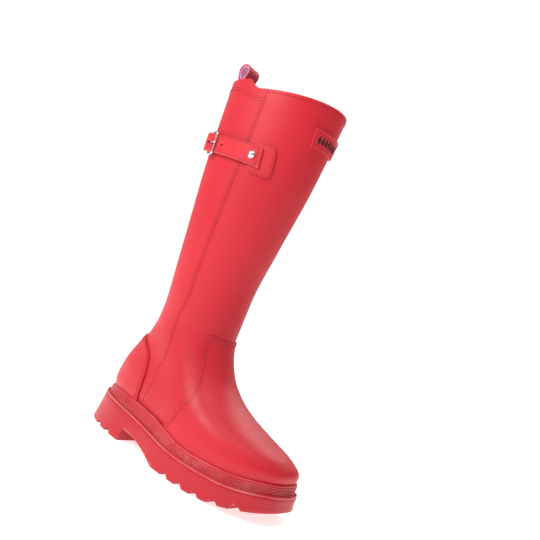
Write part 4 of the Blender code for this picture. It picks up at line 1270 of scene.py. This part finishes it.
def make_anchor():
    """The rubber tab that folds around the hinge bar under the strap."""
    inner = BAR_RADIUS + GAP
    outer = inner + ANCHOR_WALL
    low = HINGE_DEPTH - outer
    tail = np.linspace(ANCHOR_END, HINGE_BAR - 5.0, 5)
    outside = [(d, low) for d in tail]
    inside = [(d, low + ANCHOR_WALL) for d in tail]
    for turn in np.radians(np.linspace(-90, 135, 28)):
        outside.append((HINGE_BAR + outer * cos(turn), HINGE_DEPTH + outer * sin(turn)))
        inside.append((HINGE_BAR + inner * cos(turn), HINGE_DEPTH + inner * sin(turn)))
    for d_out, d_in in ((HINGE_BAR - 8.0, HINGE_BAR - 7.0), (ANCHOR_END + 2.0, ANCHOR_END + 2.0)):
        outside.append((d_out, low + 2 * ANCHOR_WALL + GAP))
        inside.append((d_in, low + ANCHOR_WALL + GAP))
    heights = np.linspace(-ANCHOR_WIDTH / 2, ANCHOR_WIDTH / 2, 11)
    sheets = []
    for line in (outside, inside):
        spots, depths = np.array(line).T
        d, h = np.meshgrid(spots, heights, indexing="ij")
        sheets.append(strap_point(d, h * tip_width(d), np.broadcast_to(depths[:, None], d.shape)))
    points, faces = slab(*sheets, False)
    made = make_object("buckle_anchor_looks", points, faces, "rubber_strap", "buckle_anchor")
    carve(made, [slot_box(HINGE_BAR - 5.5, HINGE_BAR + 6.0, 6, -1.0)])
    bevel(made, 0.3, 2)


# ---------------------------------------------------------------- label

LABEL_LEVEL = 0.938
LABEL_WIDTH = 46.0
LABEL_HEIGHT = 20.0
LABEL_WALL = 1.5
LABEL_BORDER = 1.8
LABEL_RIM = 1.1
MARK_COUNT = 7
MARK_SPAN = 15.0
MARK_BULGE = 2.5
MARK_TOP = 4.6
MARK_LENGTH = 8.6
label_patch = LegPatch(LABEL_LEVEL)


def label_point(distance, height, depth):
    """Points near the front centre; distance runs to the outer side."""
    distance = np.asarray(distance, float)
    ups, angles = label_patch.at(label_patch.half - np.abs(distance), height)
    angles = np.where(distance < 0, 2 * pi - angles, angles)
    return skin(ups, angles, np.broadcast_to(depth, ups.shape))


def make_label():
    half = LABEL_WIDTH / 2
    tall = LABEL_HEIGHT / 2
    inner_half = half - LABEL_BORDER
    inner_tall = tall - LABEL_BORDER

    def lines(outer, inside):
        ends = np.array((-outer, -inside - 0.25, -inside, -inside + 0.3))
        return np.concatenate([ends, np.linspace(-inside + 1.0, inside - 1.0, 33), -ends[::-1]])

    distances, heights = np.meshgrid(lines(half, inner_half), lines(tall, inner_tall), indexing="ij")
    border = (np.abs(distances) > inner_half + 0.1) | (np.abs(heights) > inner_tall + 0.1)
    slope = (np.abs(distances) > inner_half - 0.1) | (np.abs(heights) > inner_tall - 0.1)
    high = GAP + LABEL_WALL + np.where(border, LABEL_RIM, np.where(slope, LABEL_RIM * 0.4, 0.0))
    low = label_point(distances, heights, GAP / 2)
    points, faces = slab(label_point(distances, heights, high), low, False)
    made = make_object("label_looks", points, faces, "rubber_strap", "label_plate")
    bevel(made, 0.3, 2)


def make_marks():
    """A row of raindrops."""
    points = []
    faces = []
    for middle in np.linspace(-MARK_SPAN, MARK_SPAN, MARK_COUNT):
        outline = []
        for turn in np.linspace(0.0, 2 * pi, 29)[:-1]:
            bulge = MARK_BULGE * sin(turn / 2) ** 1.2
            outline.append((middle + bulge * sin(turn), MARK_TOP - MARK_LENGTH * (1 - cos(turn)) / 2))
        start = len(points)
        outline = np.array(outline)
        centre = outline.mean(0)
        for share, depth in ((1.0, GAP), (1.0, 0.55), (0.88, 0.75), (0.45, 0.85), (0.05, 0.88)):
            ring = centre + (outline - centre) * share
            points += list(label_point(ring[:, 0], ring[:, 1], GAP + LABEL_WALL + depth - 0.25))
        faces += tube_faces(5, len(outline), False, start)
    make_object("label_marks_looks", points, faces, "dark", "label_marks")


# ---------------------------------------------------------------- floor and light

AMBIENT = 0.42
FLOOR_RADIUS = 3.0
FLOOR_GLOW = 0.66
BACKDROP = 1.05
WHITE = (1.0, 1.0, 1.0)
LIGHT_TARGET = Vector((0.0, 0.0, 0.22))
# name, azimuth, elevation, distance, size, power
LIGHTS = (
    ("key", -25.0, 35.0, 1.5, 0.7, 17.0),
    ("top", 30.0, 75.0, 1.6, 0.9, 8.0),
    ("back", 190.0, 40.0, 1.6, 0.8, 7.0),
)


def make_stage():
    n = Nodes("floor")
    n.set(Base_Color=n.mix(n.remap(n.noise(3.0), 0.3, 0.7, 0.0, 1.0), (0.93, 0.93, 0.93), (0.95, 0.95, 0.95)),
          Roughness=0.9, Emission_Color=WHITE, Emission_Strength=FLOOR_GLOW)
    data = bpy.data.meshes.new("floor")
    mesh = bmesh.new()
    bmesh.ops.create_circle(mesh, cap_ends=True, segments=96, radius=FLOOR_RADIUS)
    mesh.to_mesh(data)
    mesh.free()
    data.materials.append(n.material)
    floor = bpy.data.objects.new("floor", data)
    bpy.context.collection.objects.link(floor)

    world = bpy.data.worlds.new("studio")
    bpy.context.scene.world = world
    world.use_nodes = True
    tree = world.node_tree
    background = tree.nodes["Background"]
    background.inputs["Color"].default_value = (*WHITE, 1.0)
    path = tree.nodes.new("ShaderNodeLightPath")
    strength = tree.nodes.new("ShaderNodeMapRange")
    strength.inputs["To Min"].default_value = AMBIENT
    strength.inputs["To Max"].default_value = BACKDROP
    tree.links.new(path.outputs["Is Camera Ray"], strength.inputs["Value"])
    tree.links.new(strength.outputs["Result"], background.inputs["Strength"])
    bpy.context.scene.view_settings.view_transform = "Standard"

    for name, azimuth, elevation, distance, size, power in LIGHTS:
        light = bpy.data.lights.new(name, "AREA")
        light.size = size
        light.energy = power
        back = towards(radians(azimuth), radians(elevation))
        made = bpy.data.objects.new(name, light)
        made.location = LIGHT_TARGET + back * distance
        made.rotation_euler = back.to_track_quat("Z", "Y").to_euler()
        bpy.context.collection.objects.link(made)


make_camera()
make_materials()
make_outsole()
make_band()
make_welt()
make_shaft()
make_overlay("vamp", vamp_edge, pi, VAMP_TOP, VAMP_CORNER, 91)
make_overlay("heel_counter", counter_edge, 0.0, COUNTER_TOP, COUNTER_CORNER, 61)
make_seam_stitches()
make_lining()
make_footbed()
make_pull_loop()
make_patch()
make_strap()
make_rivet()
make_frame()
make_prong()
make_anchor()
make_label()
make_marks()
make_stage()
